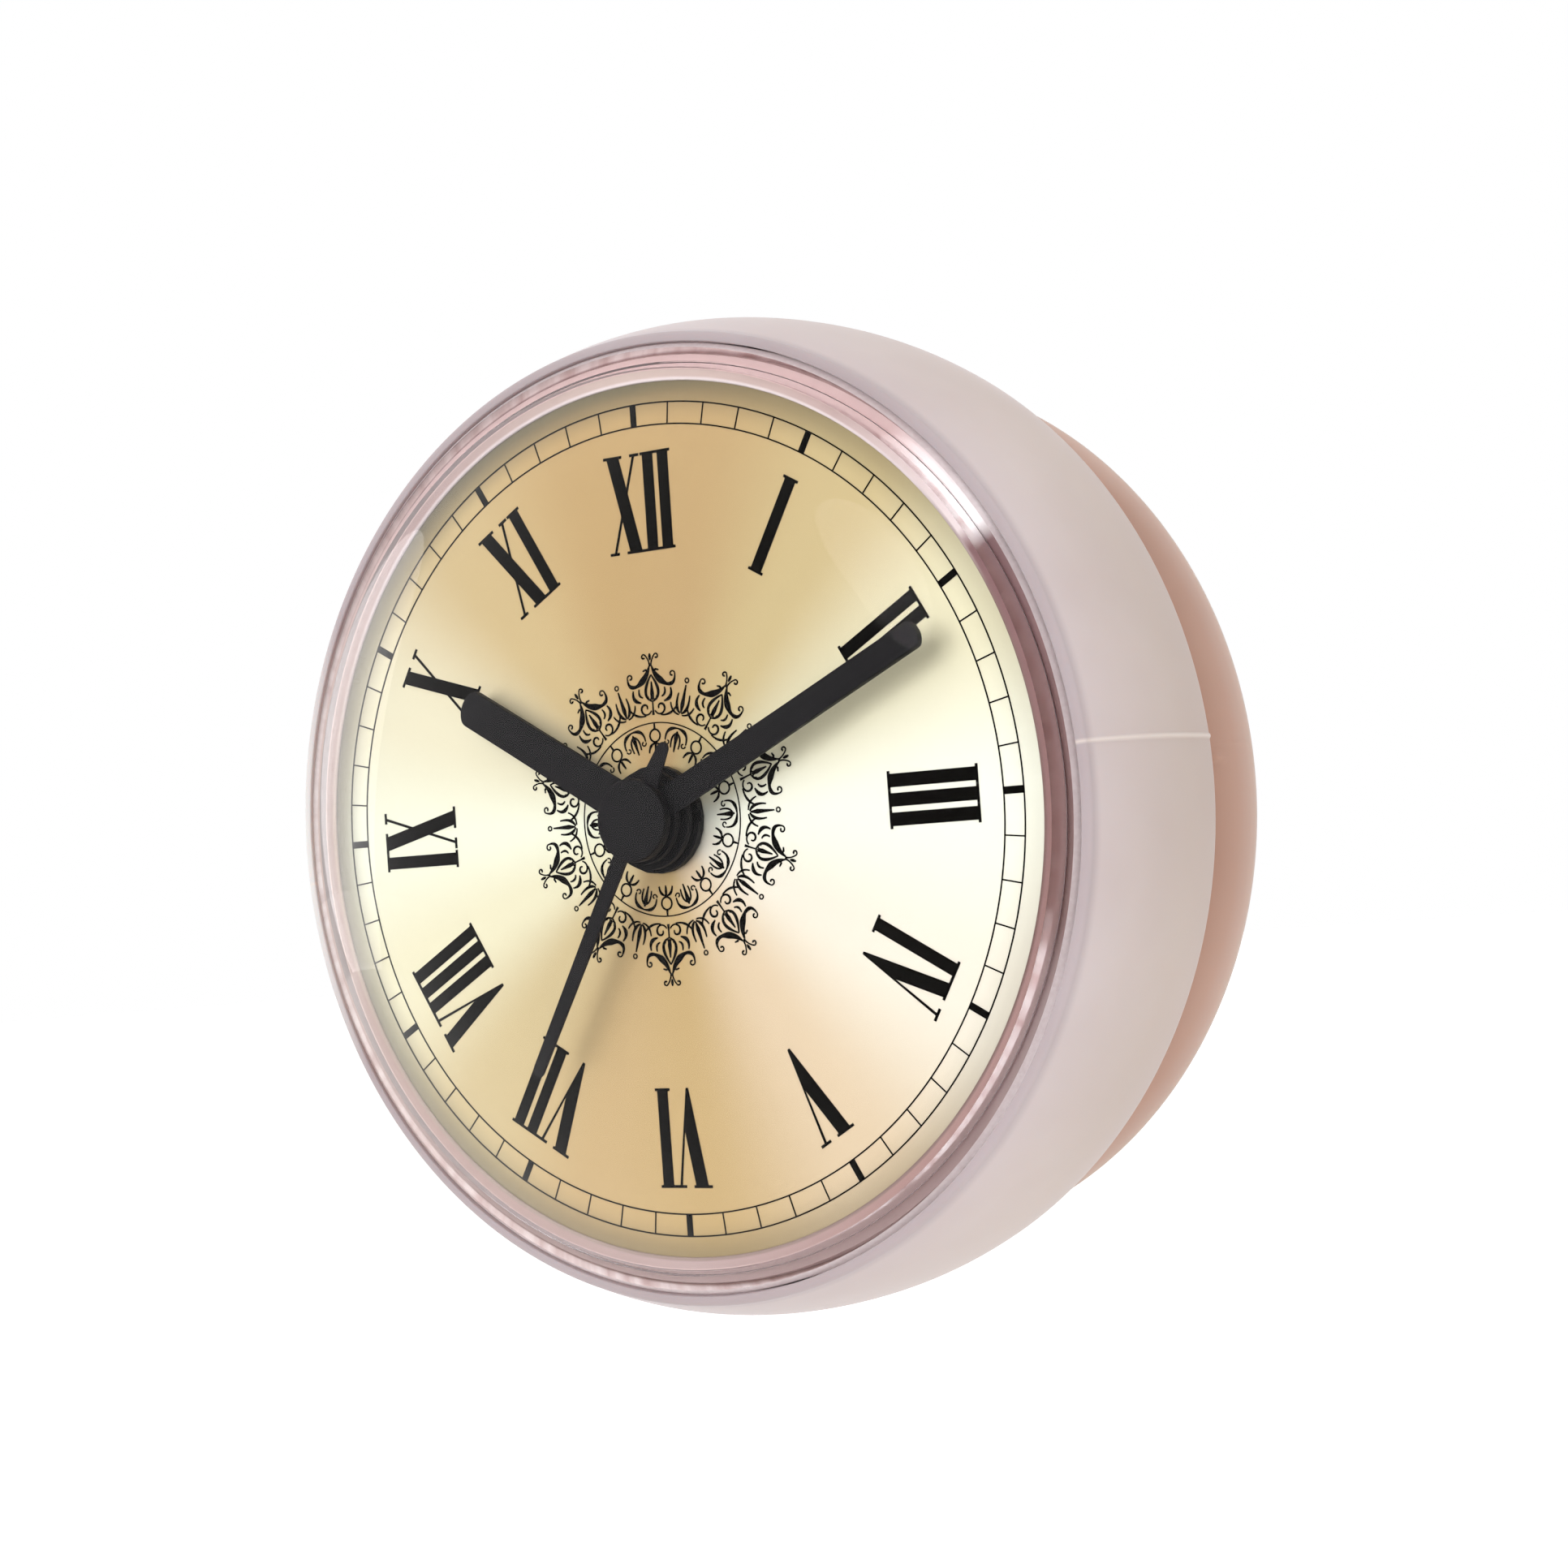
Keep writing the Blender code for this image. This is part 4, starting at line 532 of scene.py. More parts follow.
plated_steel, tree, shader, place = new_material("nickel_plated_steel", Metallic=1.0)
stretch = add_node(tree, "ShaderNodeMapping", {"Vector": place, "Scale": (4000.0, 4000.0, 300.0)})
rolled = add_node(tree, "ShaderNodeTexNoise", {
    "Vector": stretch.outputs["Vector"], "Scale": 1.0, "Detail": 2.0,
})
vary(tree, shader, rolled.outputs["Fac"], [(0.35, "#aaa9a7"), (0.65, "#c4c2be")], (0.22, 0.4))
finish_nodes(
    plated_steel, "button_cell", "contact_positive", "contact_negative", "quartz_crystal", "screw_left",
    "screw_right",
)


# Dial: a stamped aluminium disc, sunray brushed from its middle and anodised champagne gold. Its colour
# carries a painted reflection of the brushing: two pale fans, towards 3 and 9, with deeper gold between
# them.

DIAL_FACE = 0.0259
DIAL_BACK = 0.0254
DIAL_RADIUS = 0.0310
DIAL_HOLE = 0.00305
DIAL_EDGE = 0.00005         # the stamped corner
RIM_SHADE_FROM = 0.0276     # the rim lies in the lens's shade
RIM_SHADE_TO = 0.0306
BRUSH_LINES = 900.0         # in a whole turn
BRUSH_BREAKS = 60.0         # along a line, in a metre

dial_profile = [(DIAL_HOLE, DIAL_BACK), (DIAL_HOLE, DIAL_FACE)]
dial_profile += [(radius, DIAL_FACE) for radius in (0.008, 0.014, 0.020, 0.026, DIAL_RADIUS - DIAL_EDGE)]
dial_profile += [(DIAL_RADIUS, DIAL_FACE - DIAL_EDGE), (DIAL_RADIUS, DIAL_BACK)]

gilt, tree, shader, place = new_material("anodised_sunray_aluminium", Metallic=0.55, Anisotropic=0.5)
fan = round_axis(tree, place)
# Painted reflection: pale towards 3 and 9, deeper gold towards 12 and 6
gold_with_painted_fans = add_node(tree, "ShaderNodeValToRGB", {"Fac": fan}, [
    (0.00, "#ecf3dc"), (0.06, "#e5e5c4"), (0.13, "#cbbd90"), (0.20, "#c2ab7c"), (0.26, "#bea775"),
    (0.34, "#d4c4a4"), (0.42, "#e4e3d2"), (0.50, "#eff5e4"), (0.57, "#e2e1bf"), (0.64, "#c6b787"),
    (0.72, "#b9a070"), (0.78, "#b79e6d"), (0.86, "#c3b182"), (0.94, "#e1e0c2"), (1.00, "#ecf3dc"),
])
gold_with_painted_fans.color_ramp.interpolation = "EASE"
distance = from_axis(tree, place)
# Painted shade near the rim, where the lens's edge would shade the dial: deepest from 9 round to 12 o'clock,
# faint at 3
rim = add_node(tree, "ShaderNodeMapRange", {
    "Value": distance, "From Min": RIM_SHADE_FROM, "From Max": RIM_SHADE_TO,
}, interpolation_type="SMOOTHSTEP")
rim_shade_by_side = add_node(tree, "ShaderNodeValToRGB", {"Fac": fan}, [
    (0.00, "#ffffff"), (0.25, "#c8c8c8"), (0.50, "#6c6c6c"), (0.62, "#b0b0b0"), (0.75, "#ffffff"),
    (1.00, "#ffffff"),
])
rim_shade_share = add_node(tree, "ShaderNodeMath", {0: rim.outputs["Result"], 1: rim_shade_by_side.outputs["Color"]},
                operation="MULTIPLY")
shaded = add_node(tree, "ShaderNodeMix", {
    0: rim_shade_share.outputs[0], 6: gold_with_painted_fans.outputs["Color"], 7: linear("#6b654c"),
}, data_type="RGBA")
tree.links.new(shaded.outputs[2], shader.inputs["Base Color"])
# Brush lines are about 0.03 mm apart at the rim, drawn at 0.2 mm so that they show
rays = add_node(tree, "ShaderNodeCombineXYZ", {
    "X": add_node(tree, "ShaderNodeMath", {0: fan, 1: BRUSH_LINES}, operation="MULTIPLY").outputs[0],
    "Y": add_node(tree, "ShaderNodeMath", {0: distance, 1: BRUSH_BREAKS}, operation="MULTIPLY").outputs[0],
})
brushed = add_node(tree, "ShaderNodeTexNoise", {"Vector": rays.outputs[0], "Scale": 1.0, "Detail": 2.0})
vary(tree, shader, brushed.outputs["Fac"], roughness=(0.34, 0.46), relief=(0.08, 0.00002))
turning = add_node(tree, "ShaderNodeTangent", direction_type="RADIAL", axis="Y")
tree.links.new(turning.outputs["Tangent"], shader.inputs["Tangent"])

finish_piece("sunray_dial", turned(dial_profile), gilt, "core", ["dial"])


# Dial gasket: a moulded ring of pink silicone, hooked over the dial's edge, so that the dial doesn't rattle
# under the lens. It hides the dial's cut edge, and its colour shows through the lens's wall.

GASKET_INNER = 0.03042
GASKET_OUTER = 0.03127
GASKET_TOP = 0.02605
GASKET_FLANGE_RADIUS = 0.0319
GASKET_FLANGE = 0.02445     # the lens's foot rests on it
GASKET_FOOT = 0.02423
GASKET_LIP = DIAL_FACE + 0.00002
GASKET_BORE = DIAL_RADIUS + 0.00004
GASKET_ROUNDING = 0.00014
GASKET_EDGE_FROM = GASKET_INNER + 0.00016
GASKET_EDGE_TO = GASKET_INNER + 0.00030
GASKET_SIDE = GASKET_OUTER - 0.00008

gasket_profile = [(GASKET_INNER, GASKET_LIP)]
gasket_rim = (GASKET_INNER + GASKET_ROUNDING, GASKET_TOP)
gasket_profile += bend(gasket_profile[0], (GASKET_INNER, GASKET_TOP), gasket_rim, 4)
gasket_profile += [(0.0309, GASKET_TOP), (GASKET_OUTER, GASKET_TOP), (GASKET_OUTER, GASKET_FLANGE)]
gasket_profile += [(GASKET_FLANGE_RADIUS, GASKET_FLANGE), (GASKET_FLANGE_RADIUS, GASKET_FOOT)]
gasket_profile += [(GASKET_BORE, GASKET_FOOT), (GASKET_BORE, GASKET_LIP)]

pink_sheet, tree, shader, place = new_material("silicone_gasket", Roughness=0.55, IOR=1.41)
around = round_axis(tree, place)
distance = from_axis(tree, place)
# Its colour round the ring is painted light: darker near 9 o'clock and as a painted dark reflection from
# about half past 3 round to 2 o'clock, with a painted highlight at 2, and its own painted light and shade
# along its inner edge
band = add_node(tree, "ShaderNodeValToRGB", {"Fac": around}, [
    (0.00, "#7a5542"), (0.12, "#a08278"), (0.25, "#ae9b98"), (0.34, "#a0847f"), (0.43, "#927570"),
    (0.47, "#856763"), (0.588, "#77595a"), (0.594, "#d9d0d0"), (0.66, "#b09c98"), (0.75, "#bdada4"),
    (0.86, "#a08884"), (1.00, "#7a5542"),
])
edge = add_node(tree, "ShaderNodeValToRGB", {"Fac": around}, [
    (0.00, "#9a8672"), (0.20, "#9a8a80"), (0.30, "#8a7973"), (0.45, "#6b524e"), (0.57, "#7a625e"),
    (0.62, "#c9c0c0"), (0.75, "#d4cbca"), (0.88, "#bdb3b3"), (1.00, "#9a8672"),
])
at_edge = add_node(tree, "ShaderNodeMapRange", {
    "Value": distance, "From Min": GASKET_EDGE_FROM, "From Max": GASKET_EDGE_TO,
    "To Min": 1.0, "To Max": 0.0,
})
top = add_node(tree, "ShaderNodeMix", {
    0: at_edge.outputs["Result"], 6: band.outputs["Color"], 7: edge.outputs["Color"],
}, data_type="RGBA")
# Its outer side, which the lens's wall magnifies, with the same painted reflection and a white painted
# highlight at 2 o'clock
side = add_node(tree, "ShaderNodeValToRGB", {"Fac": around}, [
    (0.00, "#c4ab9e"), (0.14, "#b8a09a"), (0.25, "#c9b4b1"), (0.34, "#b59d9a"), (0.44, "#a58e8c"),
    (0.455, "#8b6d69"), (0.588, "#77595a"), (0.592, "#ffffff"), (0.62, "#f2e8e8"), (0.64, "#cdb3b1"),
    (0.86, "#c9b0ad"), (1.00, "#c4ab9e"),
])
at_side = add_node(tree, "ShaderNodeMath", {0: distance, 1: GASKET_SIDE}, operation="GREATER_THAN")
sided = add_node(tree, "ShaderNodeMix", {0: at_side.outputs[0], 6: top.outputs[2], 7: side.outputs["Color"]},
                 data_type="RGBA")
tree.links.new(sided.outputs[2], shader.inputs["Base Color"])
talc = add_node(tree, "ShaderNodeTexNoise", {"Vector": place, "Scale": 900.0, "Detail": 3.0})
vary(tree, shader, talc.outputs["Fac"], relief=(0.2, 0.00002))

finish_piece("dial_gasket", turned(gasket_profile), pink_sheet, "core")


# Printing on the dial: black screen ink, 0.03 mm proud so that it catches a little light. Each numeral's
# top points outwards. First the ink and the twelve numerals.

INK_HEIGHT = 0.00003
INK_TOP = DIAL_FACE + INK_HEIGHT
INK_BOTTOM = DIAL_FACE - INK_HEIGHT
NUMERAL_FOOT = 0.0188
NUMERAL_HEIGHT = 0.0069
HAIRLINE = 0.00020
STEM = 0.00090
SERIF = 0.00019
THIN_STROKE = 0.00020
LETTER_GAP = 0.00001

ink, tree, shader, place = new_material(
    "screen_ink", Base_Color=linear("#080706"), IOR=1.5, Specular_IOR_Level=0.0
)
mesh_marks = add_node(tree, "ShaderNodeTexNoise", {"Vector": place, "Scale": 5000.0, "Detail": 2.0})
vary(tree, shader, mesh_marks.outputs["Fac"], roughness=(0.4, 0.6))


def print_on_dial(name, mesh):
    finish_piece(name, mesh, ink, "core", sharp=20.0)


def crossing(a, b, c, d):
    """Where the line through a and b meets the line through c and d."""
    a, b, c, d = Vector(a), Vector(b), Vector(c), Vector(d)
    along, other = b - a, d - c
    t = (c - a).cross(other) / along.cross(other)
    return tuple(a + along * t)


def letter_i():
    top = NUMERAL_HEIGHT
    left, right = SERIF, SERIF + STEM
    end = STEM + 2 * SERIF
    outline = [
        (0, 0), (end, 0), (end, HAIRLINE), (right, HAIRLINE), (right, top - HAIRLINE), (end, top - HAIRLINE),
        (end, top), (0, top), (0, top - HAIRLINE), (left, top - HAIRLINE), (left, HAIRLINE), (0, HAIRLINE),
    ]
    return outline, end


def letter_v():
    top, under = NUMERAL_HEIGHT, NUMERAL_HEIGHT - HAIRLINE
    width, thick, apex, point = 0.0031, 0.00105, 0.00160, 0.00010
    left = ((0.0003, top), (apex - point, 0.0))
    inner = ((left[0][0] + thick, top), (left[1][0] + thick, 0.0))
    thin_left = ((width - 0.00052, top), (apex, 0.0))
    thin_right = ((thin_left[0][0] + THIN_STROKE, top), (apex + point, 0.0))
    low, high = (0.0, under), (1.0, under)
    outline = [
        (0.0, top), (0.00155, top), (0.00155, under), crossing(*inner, low, high),
        crossing(*inner, *thin_left), crossing(*thin_left, low, high), (width - 0.00090, under),
        (width - 0.00090, top), (width, top), (width, under), crossing(*thin_right, low, high),
        thin_right[1], left[1], crossing(*left, low, high), (0.0, under),
    ]
    return outline, width


def letter_x():
    top, under, over = NUMERAL_HEIGHT, NUMERAL_HEIGHT - HAIRLINE, HAIRLINE
    width, thick = 0.0032, 0.00105
    left = ((0.00025, top), (width - 0.00025 - thick, 0.0))
    right = ((0.00025 + thick, top), (width - 0.00025, 0.0))
    thin_left = ((width - 0.00062, top), (0.00042, 0.0))
    thin_right = ((width - 0.00062 + THIN_STROKE, top), (0.00042 + THIN_STROKE, 0.0))
    upper = ((0.0, under), (1.0, under))
    lower = ((0.0, over), (1.0, over))
    outline = [
        (0.0, top), (0.0016, top), (0.0016, under), crossing(*right, *upper),
        crossing(*right, *thin_left), crossing(*thin_left, *upper), (width - 0.0009, under),
        (width - 0.0009, top), (width - 0.0001, top), (width - 0.0001, under), crossing(*thin_right, *upper),
        crossing(*thin_right, *right), crossing(*right, *lower), (width, over), (width, 0.0),
        (width - 0.0016, 0.0), (width - 0.0016, over), crossing(*left, *lower),
        crossing(*left, *thin_right), crossing(*thin_right, *lower), (0.0009, over), (0.0009, 0.0),
        (0.0001, 0.0), (0.0001, over), crossing(*thin_left, *lower), crossing(*thin_left, *left),
        crossing(*left, *upper), (0.0, under),
    ]
    return outline, width


def prism(work, outline, low, high):
    """Adds a flat piece with this edge between two heights, and returns its upper face."""
    area = sum(a[0] * b[1] - b[0] * a[1] for a, b in zip(outline, outline[1:] + outline[:1]))
    if area < 0:
        outline = outline[::-1]
    below = [work.verts.new((x, y, low)) for x, y in outline]
    above = [work.verts.new((x, y, high)) for x, y in outline]
    work.faces.new(below[::-1])
    count = len(outline)
    for i in range(count):
        j = (i + 1) % count
        work.faces.new((below[i], below[j], above[j], above[i]))
    return work.faces.new(above)


LETTERS = {"I": letter_i, "V": letter_v, "X": letter_x}
work = bmesh.new()
for hour, word in enumerate(("I", "II", "III", "IV", "V", "VI", "VII", "VIII", "IX", "X", "XI", "XII"), 1):
    angle = math.radians(30 * hour)
    across = Vector((math.cos(angle), -math.sin(angle)))
    outwards = Vector((math.sin(angle), math.cos(angle)))
    drawn = [LETTERS[letter]() for letter in word]
    start = -sum(width for outline, width in drawn) / 2
    for outline, width in drawn:
        points = [tuple(across * (start + x) + outwards * (NUMERAL_FOOT + y)) for x, y in outline]
        prism(work, points, INK_BOTTOM, INK_TOP)
        start += width + LETTER_GAP
print_on_dial("roman_numerals", mesh_from(work))


# Minute track in the same ink: two fine circles with a line between them at each minute and a bar at each
# hour. Geometry nodes set the lines round the circle.

TRACK_INNER = 0.0275
TRACK_OUTER = 0.0290
TRACK_LINE = 0.00010
AT_TWELVE = math.pi / 2


def new_ring_tree():
    """Sets copies of a motif round a circle, each with its y axis outwards."""
    made = bpy.data.node_groups.new("copies_round_a_circle", "GeometryNodeTree")
    for name, kind in (
        ("Geometry", "NodeSocketGeometry"), ("Motif", "NodeSocketObject"), ("Copies", "NodeSocketInt"),
        ("Radius", "NodeSocketFloat"), ("Start", "NodeSocketFloat"), ("Surface", "NodeSocketMaterial"),
    ):
        made.interface.new_socket(name, in_out="INPUT", socket_type=kind)
    made.interface.new_socket("Geometry", in_out="OUTPUT", socket_type="NodeSocketGeometry")
    given = add_node(made, "NodeGroupInput").outputs
    motif = add_node(made, "GeometryNodeObjectInfo", {"Object": given["Motif"]})
    circle = add_node(made, "GeometryNodeMeshCircle", {
        "Vertices": given["Copies"], "Radius": given["Radius"],
    })
    start = add_node(made, "ShaderNodeCombineXYZ", {"Z": given["Start"]})
    turned_circle = add_node(made, "GeometryNodeTransform", {
        "Geometry": circle.outputs["Mesh"], "Rotation": start.outputs["Vector"],
    })
    outwards = add_node(made, "FunctionNodeAlignRotationToVector", {
        "Vector": add_node(made, "GeometryNodeInputPosition").outputs["Position"],
    }, axis="Y")
    copies = add_node(made, "GeometryNodeInstanceOnPoints", {
        "Points": turned_circle.outputs["Geometry"], "Instance": motif.outputs["Geometry"],
        "Rotation": outwards.outputs["Rotation"],
    })
    real = add_node(made, "GeometryNodeRealizeInstances", {"Geometry": copies.outputs["Instances"]})
    coated = add_node(made, "GeometryNodeSetMaterial", {
        "Geometry": real.outputs["Geometry"], "Material": given["Surface"],
    })
    add_node(made, "NodeGroupOutput", {"Geometry": coated.outputs["Geometry"]})
    return made


ring_tree = new_ring_tree()


def copies_round(motif_mesh, copies, radius, start):
    """A plain mesh of inked copies of a motif, set round the dial by geometry nodes."""
    motif = bpy.data.objects.new("motif", motif_mesh)
    holder = bpy.data.objects.new("holder", bpy.data.meshes.new("holder"))
    for piece in (motif, holder):
        bpy.context.scene.collection.objects.link(piece)
    setter = holder.modifiers.new("copies", "NODES")
    setter.node_group = ring_tree
    given = {"Motif": motif, "Copies": copies, "Radius": radius, "Start": start, "Surface": ink}
    for item in ring_tree.interface.items_tree:
        if item.in_out == "INPUT" and item.name in given:
            setter[item.identifier] = given[item.name]
    bpy.context.view_layer.update()
    graph = bpy.context.evaluated_depsgraph_get()
    mesh = bpy.data.meshes.new_from_object(holder.evaluated_get(graph))
    for piece in (holder, motif):
        bpy.data.objects.remove(piece)
    return mesh


def bar_motif(half_width, low, high):
    """A short upright bar, drawn from the circle that its copies stand on."""
    work = bmesh.new()
    prism(work, [(-half_width, low), (half_width, low), (half_width, high), (-half_width, high)],
          INK_BOTTOM, INK_TOP)
    return mesh_from(work)


def ink_ring(radius, width):
    return turned([
        (radius - width / 2, INK_BOTTOM), (radius - width / 2, INK_TOP),
        (radius + width / 2, INK_TOP), (radius + width / 2, INK_BOTTOM),
    ], even_angles(FINE_STEPS))


track_depth = TRACK_OUTER - TRACK_INNER
for name, half_width, copies in (("minute_lines", 0.00005, 60), ("hour_bars", 0.00025, 12)):
    bar = bar_motif(half_width, TRACK_LINE / 2, track_depth - TRACK_LINE / 2)
    print_on_dial(name, copies_round(bar, copies, TRACK_INNER, AT_TWELVE))
print_on_dial("minute_circle_inner", ink_ring(TRACK_INNER, TRACK_LINE))
print_on_dial("minute_circle_outer", ink_ring(TRACK_OUTER, TRACK_LINE))


# Rosette in the middle of the dial, in the same ink: a ring of ten palmettes between small buds, inside
# them a fine circle, beads and drops. A plain traditional ornament, drawn with tapering pen strokes.

ROSETTE_CIRCLE = 0.0068
PALMETTE_FOOT = 0.0073
BEAD_RADIUS = 0.0059
ROSETTE_COPIES = 10
ROSETTE_LINE = 0.00009
ROSETTE_SCALE = 1.05        # the motifs are drawn a little under their size
MM = 0.001
FINE = 0.10                 # the finest line of the pen, in millimetres as all the widths


def stroke(work, points, widths):
    """A flat pen stroke through points drawn in millimetres. The widths are spread evenly along it."""
    points = [Vector((x * ROSETTE_SCALE * MM, y * ROSETTE_SCALE * MM)) for x, y in points]
    widths = [width * MM for width in widths]
    count = len(points)
    left, right = [], []
    for i, point in enumerate(points):
        along = (points[min(i + 1, count - 1)] - points[max(i - 1, 0)]).normalized()
        side = Vector((-along.y, along.x))
        share = i / (count - 1) * (len(widths) - 1)
        k = min(int(share), len(widths) - 2)
        half = (widths[k] + (widths[k + 1] - widths[k]) * (share - k)) / 2
        left.append(tuple(point + side * half))
        right.append(tuple(point - side * half))
    prism(work, left + right[::-1], INK_BOTTOM, INK_TOP)


def scroll(centre, start_radius, end_radius, start, end, steps):
    """Points of a spiral round a centre, between two angles in degrees."""
    points = []
    for i in range(steps + 1):
        t = i / steps
        radius = start_radius + (end_radius - start_radius) * t
        angle = math.radians(start + (end - start) * t)
        points.append((centre[0] + radius * math.cos(angle), centre[1] + radius * math.sin(angle)))
    return points


def curve(start, corner, end, steps):
    return [start] + bend(start, corner, end, steps)


def both_sides(work, points, widths):
    stroke(work, points, widths)
    stroke(work, [(-x, y) for x, y in points], widths)


def palmette():
    """One palmette: an ogee of two leaves over a heart of scrolls, with volutes, curls and a finial."""
    work = bmesh.new()
    # volutes at the foot, and the garland that joins them to the next motif
    both_sides(work, scroll((0.62, 0.52), 0.50, 0.13, 200, 560, 26), [FINE, 0.17, FINE])
    both_sides(work, curve((0.62, 0.02), (1.5, -0.12), (2.05, 0.62), 8), [FINE, 0.18, FINE])
    stroke(work, [(0.0, 0.05), (0.0, 0.5), (0.0, 0.95)], [0.20, 0.12, FINE])
    # heart of two leaves round a spear
    both_sides(work, curve((0.0, 0.95), (1.05, 1.35), (0.0, 2.75), 10), [FINE, 0.20, 0.24, FINE])
    stroke(work, [(0.0, 1.05), (0.0, 1.45), (0.0, 1.9), (0.0, 2.3)], [FINE, 0.34, 0.20, FINE])
    both_sides(work, scroll((0.27, 1.22), 0.20, 0.08, 150, 430, 12), [FINE, FINE])
    # ogee leaves, bold in the middle, which end in curls to the sides
    both_sides(work, curve((0.10, 3.35), (0.35, 2.45), (1.28, 2.02), 10), [FINE, 0.34, 0.52, 0.20])
    both_sides(work, curve((1.22, 2.05), (1.95, 1.85), (1.98, 2.62), 8), [0.22, 0.30, 0.20, FINE])
    both_sides(work, scroll((1.75, 2.66), 0.24, 0.08, -10, 300, 14), [FINE, 0.13])
    # side leaves from the volutes
    both_sides(work, curve((0.95, 0.92), (1.75, 1.05), (1.55, 1.78), 8), [FINE, 0.30, 0.22, FINE])
    both_sides(work, curve((0.78, 1.25), (1.18, 1.35), (1.06, 1.85), 6), [FINE, 0.18, FINE])
    # finial: a pearl between two curls
    both_sides(work, curve((0.05, 3.3), (0.06, 3.75), (0.42, 4.12), 6), [0.14, FINE, FINE])
    both_sides(work, scroll((0.52, 3.96), 0.19, 0.07, 120, -150, 12), [FINE, 0.14])
    stroke(work, [(0.0, 3.72), (0.0, 3.86), (0.0, 4.02), (0.0, 4.18)], [FINE, 0.20, 0.20, FINE])
    both_sides(work, [(0.16, 2.95), (0.42, 3.1), (0.66, 3.02)], [FINE, 0.16, FINE])
    return mesh_from(work)


def bud():
    """The bud between two palmettes: a spear between two pairs of leaves, under a small ring."""
    work = bmesh.new()
    stroke(work, [(0.0, 0.35), (0.0, 0.9), (0.0, 1.5), (0.0, 2.25)], [FINE, 0.34, 0.22, FINE])
    both_sides(work, curve((0.05, 0.3), (0.62, 0.6), (0.46, 1.62), 8), [FINE, 0.24, 0.18, FINE])
    both_sides(work, curve((0.12, 0.2), (0.75, 0.22), (0.98, 0.88), 8), [FINE, 0.16, FINE])
    stroke(work, scroll((0.0, 2.55), 0.15, 0.15, -90, 269, 12), [FINE, FINE])
    return mesh_from(work)


def bead():
    """A small open ring with a stalk towards the circle and two leaves towards the middle."""
    work = bmesh.new()
    stroke(work, scroll((0.0, 0.0), 0.42, 0.42, -90, 269, 24), [0.13, 0.13])
    stroke(work, [(0.0, 0.42), (0.0, 0.66), (0.0, 0.88)], [0.18, FINE])
    both_sides(work, curve((0.0, -0.5), (0.5, -0.55), (0.55, -1.15), 6), [FINE, 0.20, FINE])
    stroke(work, [(0.0, -0.5), (0.0, -0.85), (0.0, -1.2)], [0.16, 0.20, FINE])
    return mesh_from(work)


def drop():
    """The pair of leaves between two beads, round a drop."""
    work = bmesh.new()
    both_sides(work, curve((0.0, 0.62), (1.0, 0.55), (0.86, -0.35), 9), [FINE, 0.26, 0.16, FINE])
    both_sides(work, scroll((0.66, -0.42), 0.21, 0.08, 0, -280, 12), [FINE, FINE])
    stroke(work, [(0.0, 0.42), (0.0, 0.05), (0.0, -0.4), (0.0, -1.0)], [FINE, 0.36, 0.20, FINE])
    both_sides(work, curve((0.0, 0.3), (0.48, 0.1), (0.32, -0.75), 6), [FINE, 0.14, FINE])
    return mesh_from(work)


between = AT_TWELVE + math.pi / ROSETTE_COPIES
for name, motif, radius, start in (
    ("rosette_palmettes", palmette(), PALMETTE_FOOT, AT_TWELVE),
    ("rosette_buds", bud(), PALMETTE_FOOT, between),
    ("rosette_beads", bead(), BEAD_RADIUS, AT_TWELVE),
    ("rosette_drops", drop(), BEAD_RADIUS, between),
):
    print_on_dial(name, copies_round(motif, ROSETTE_COPIES, radius, start))
print_on_dial("rosette_circle", ink_ring(ROSETTE_CIRCLE, ROSETTE_LINE))


# Hands: punched from thin aluminium and lacquered matt black, pressed on their tubes one above the other.
# The edges are a little rounded by the lacquer. The nut below them and the second hand's cap match.

HAND_EDGE = 0.00010
HAND_THICKNESS = 0.0005
SECOND_LOW = DIAL_FACE + 0.0029
SECOND_HIGH = DIAL_FACE + 0.0031
SECOND_ANGLE = 210.4
SECOND_LENGTH = 0.0203
SECOND_TIP = 0.00047
SECOND_ROOT = 0.0006
TAIL_LENGTH = 0.0060
TAIL_TIP = 0.00045
TAIL_ROOT = 0.00075
CAP_RADIUS = 0.0029
CAP_LOW = DIAL_FACE + 0.0028
CAP_HIGH = DIAL_FACE + 0.0036
CAP_EDGE = 0.0002
CAP_STEPS = 72

lacquer, tree, shader, place = new_material("matt_black_lacquer", IOR=1.5, Specular_IOR_Level=0.15)
mist = add_node(tree, "ShaderNodeTexNoise", {"Vector": place, "Scale": 5200.0, "Detail": 2.0})
vary(tree, shader, mist.outputs["Fac"], [(0.35, "#0b0b0d"), (0.65, "#0f0f11")], (0.5, 0.65), (0.1, 0.000005))
finish_nodes(lacquer, "fixing_nut")


def round_tip(length, half_width, tip, steps=12):
    angles = [math.pi * i / steps for i in range(steps + 1)]
    return [(half_width * math.cos(a), length - tip + tip * math.sin(a)) for a in angles]


def hand_outline(length, half_width, tip, hub):
    """A straight hand that points to 12, with its round hub."""
    root = math.asin(half_width / hub)
    start, sweep = math.pi / 2 + root, math.tau - 2 * root
    around = [start + sweep * i / 64 for i in range(65)]
    return [(hub * math.cos(a), hub * math.sin(a)) for a in around] + round_tip(length, half_width, tip)


def slab(outline, low, high, angle):
    """A flat piece with its upper edge rounded, turned clockwise by an angle in degrees."""
    work = bmesh.new()
    upper = prism(work, outline, low, high)
    bmesh.ops.bevel(work, geom=list(upper.edges), offset=HAND_EDGE, segments=3, profile=0.5, affect="EDGES")
    bmesh.ops.rotate(work, verts=work.verts, matrix=Matrix.Rotation(-math.radians(angle), 3, "Z"))
    return work


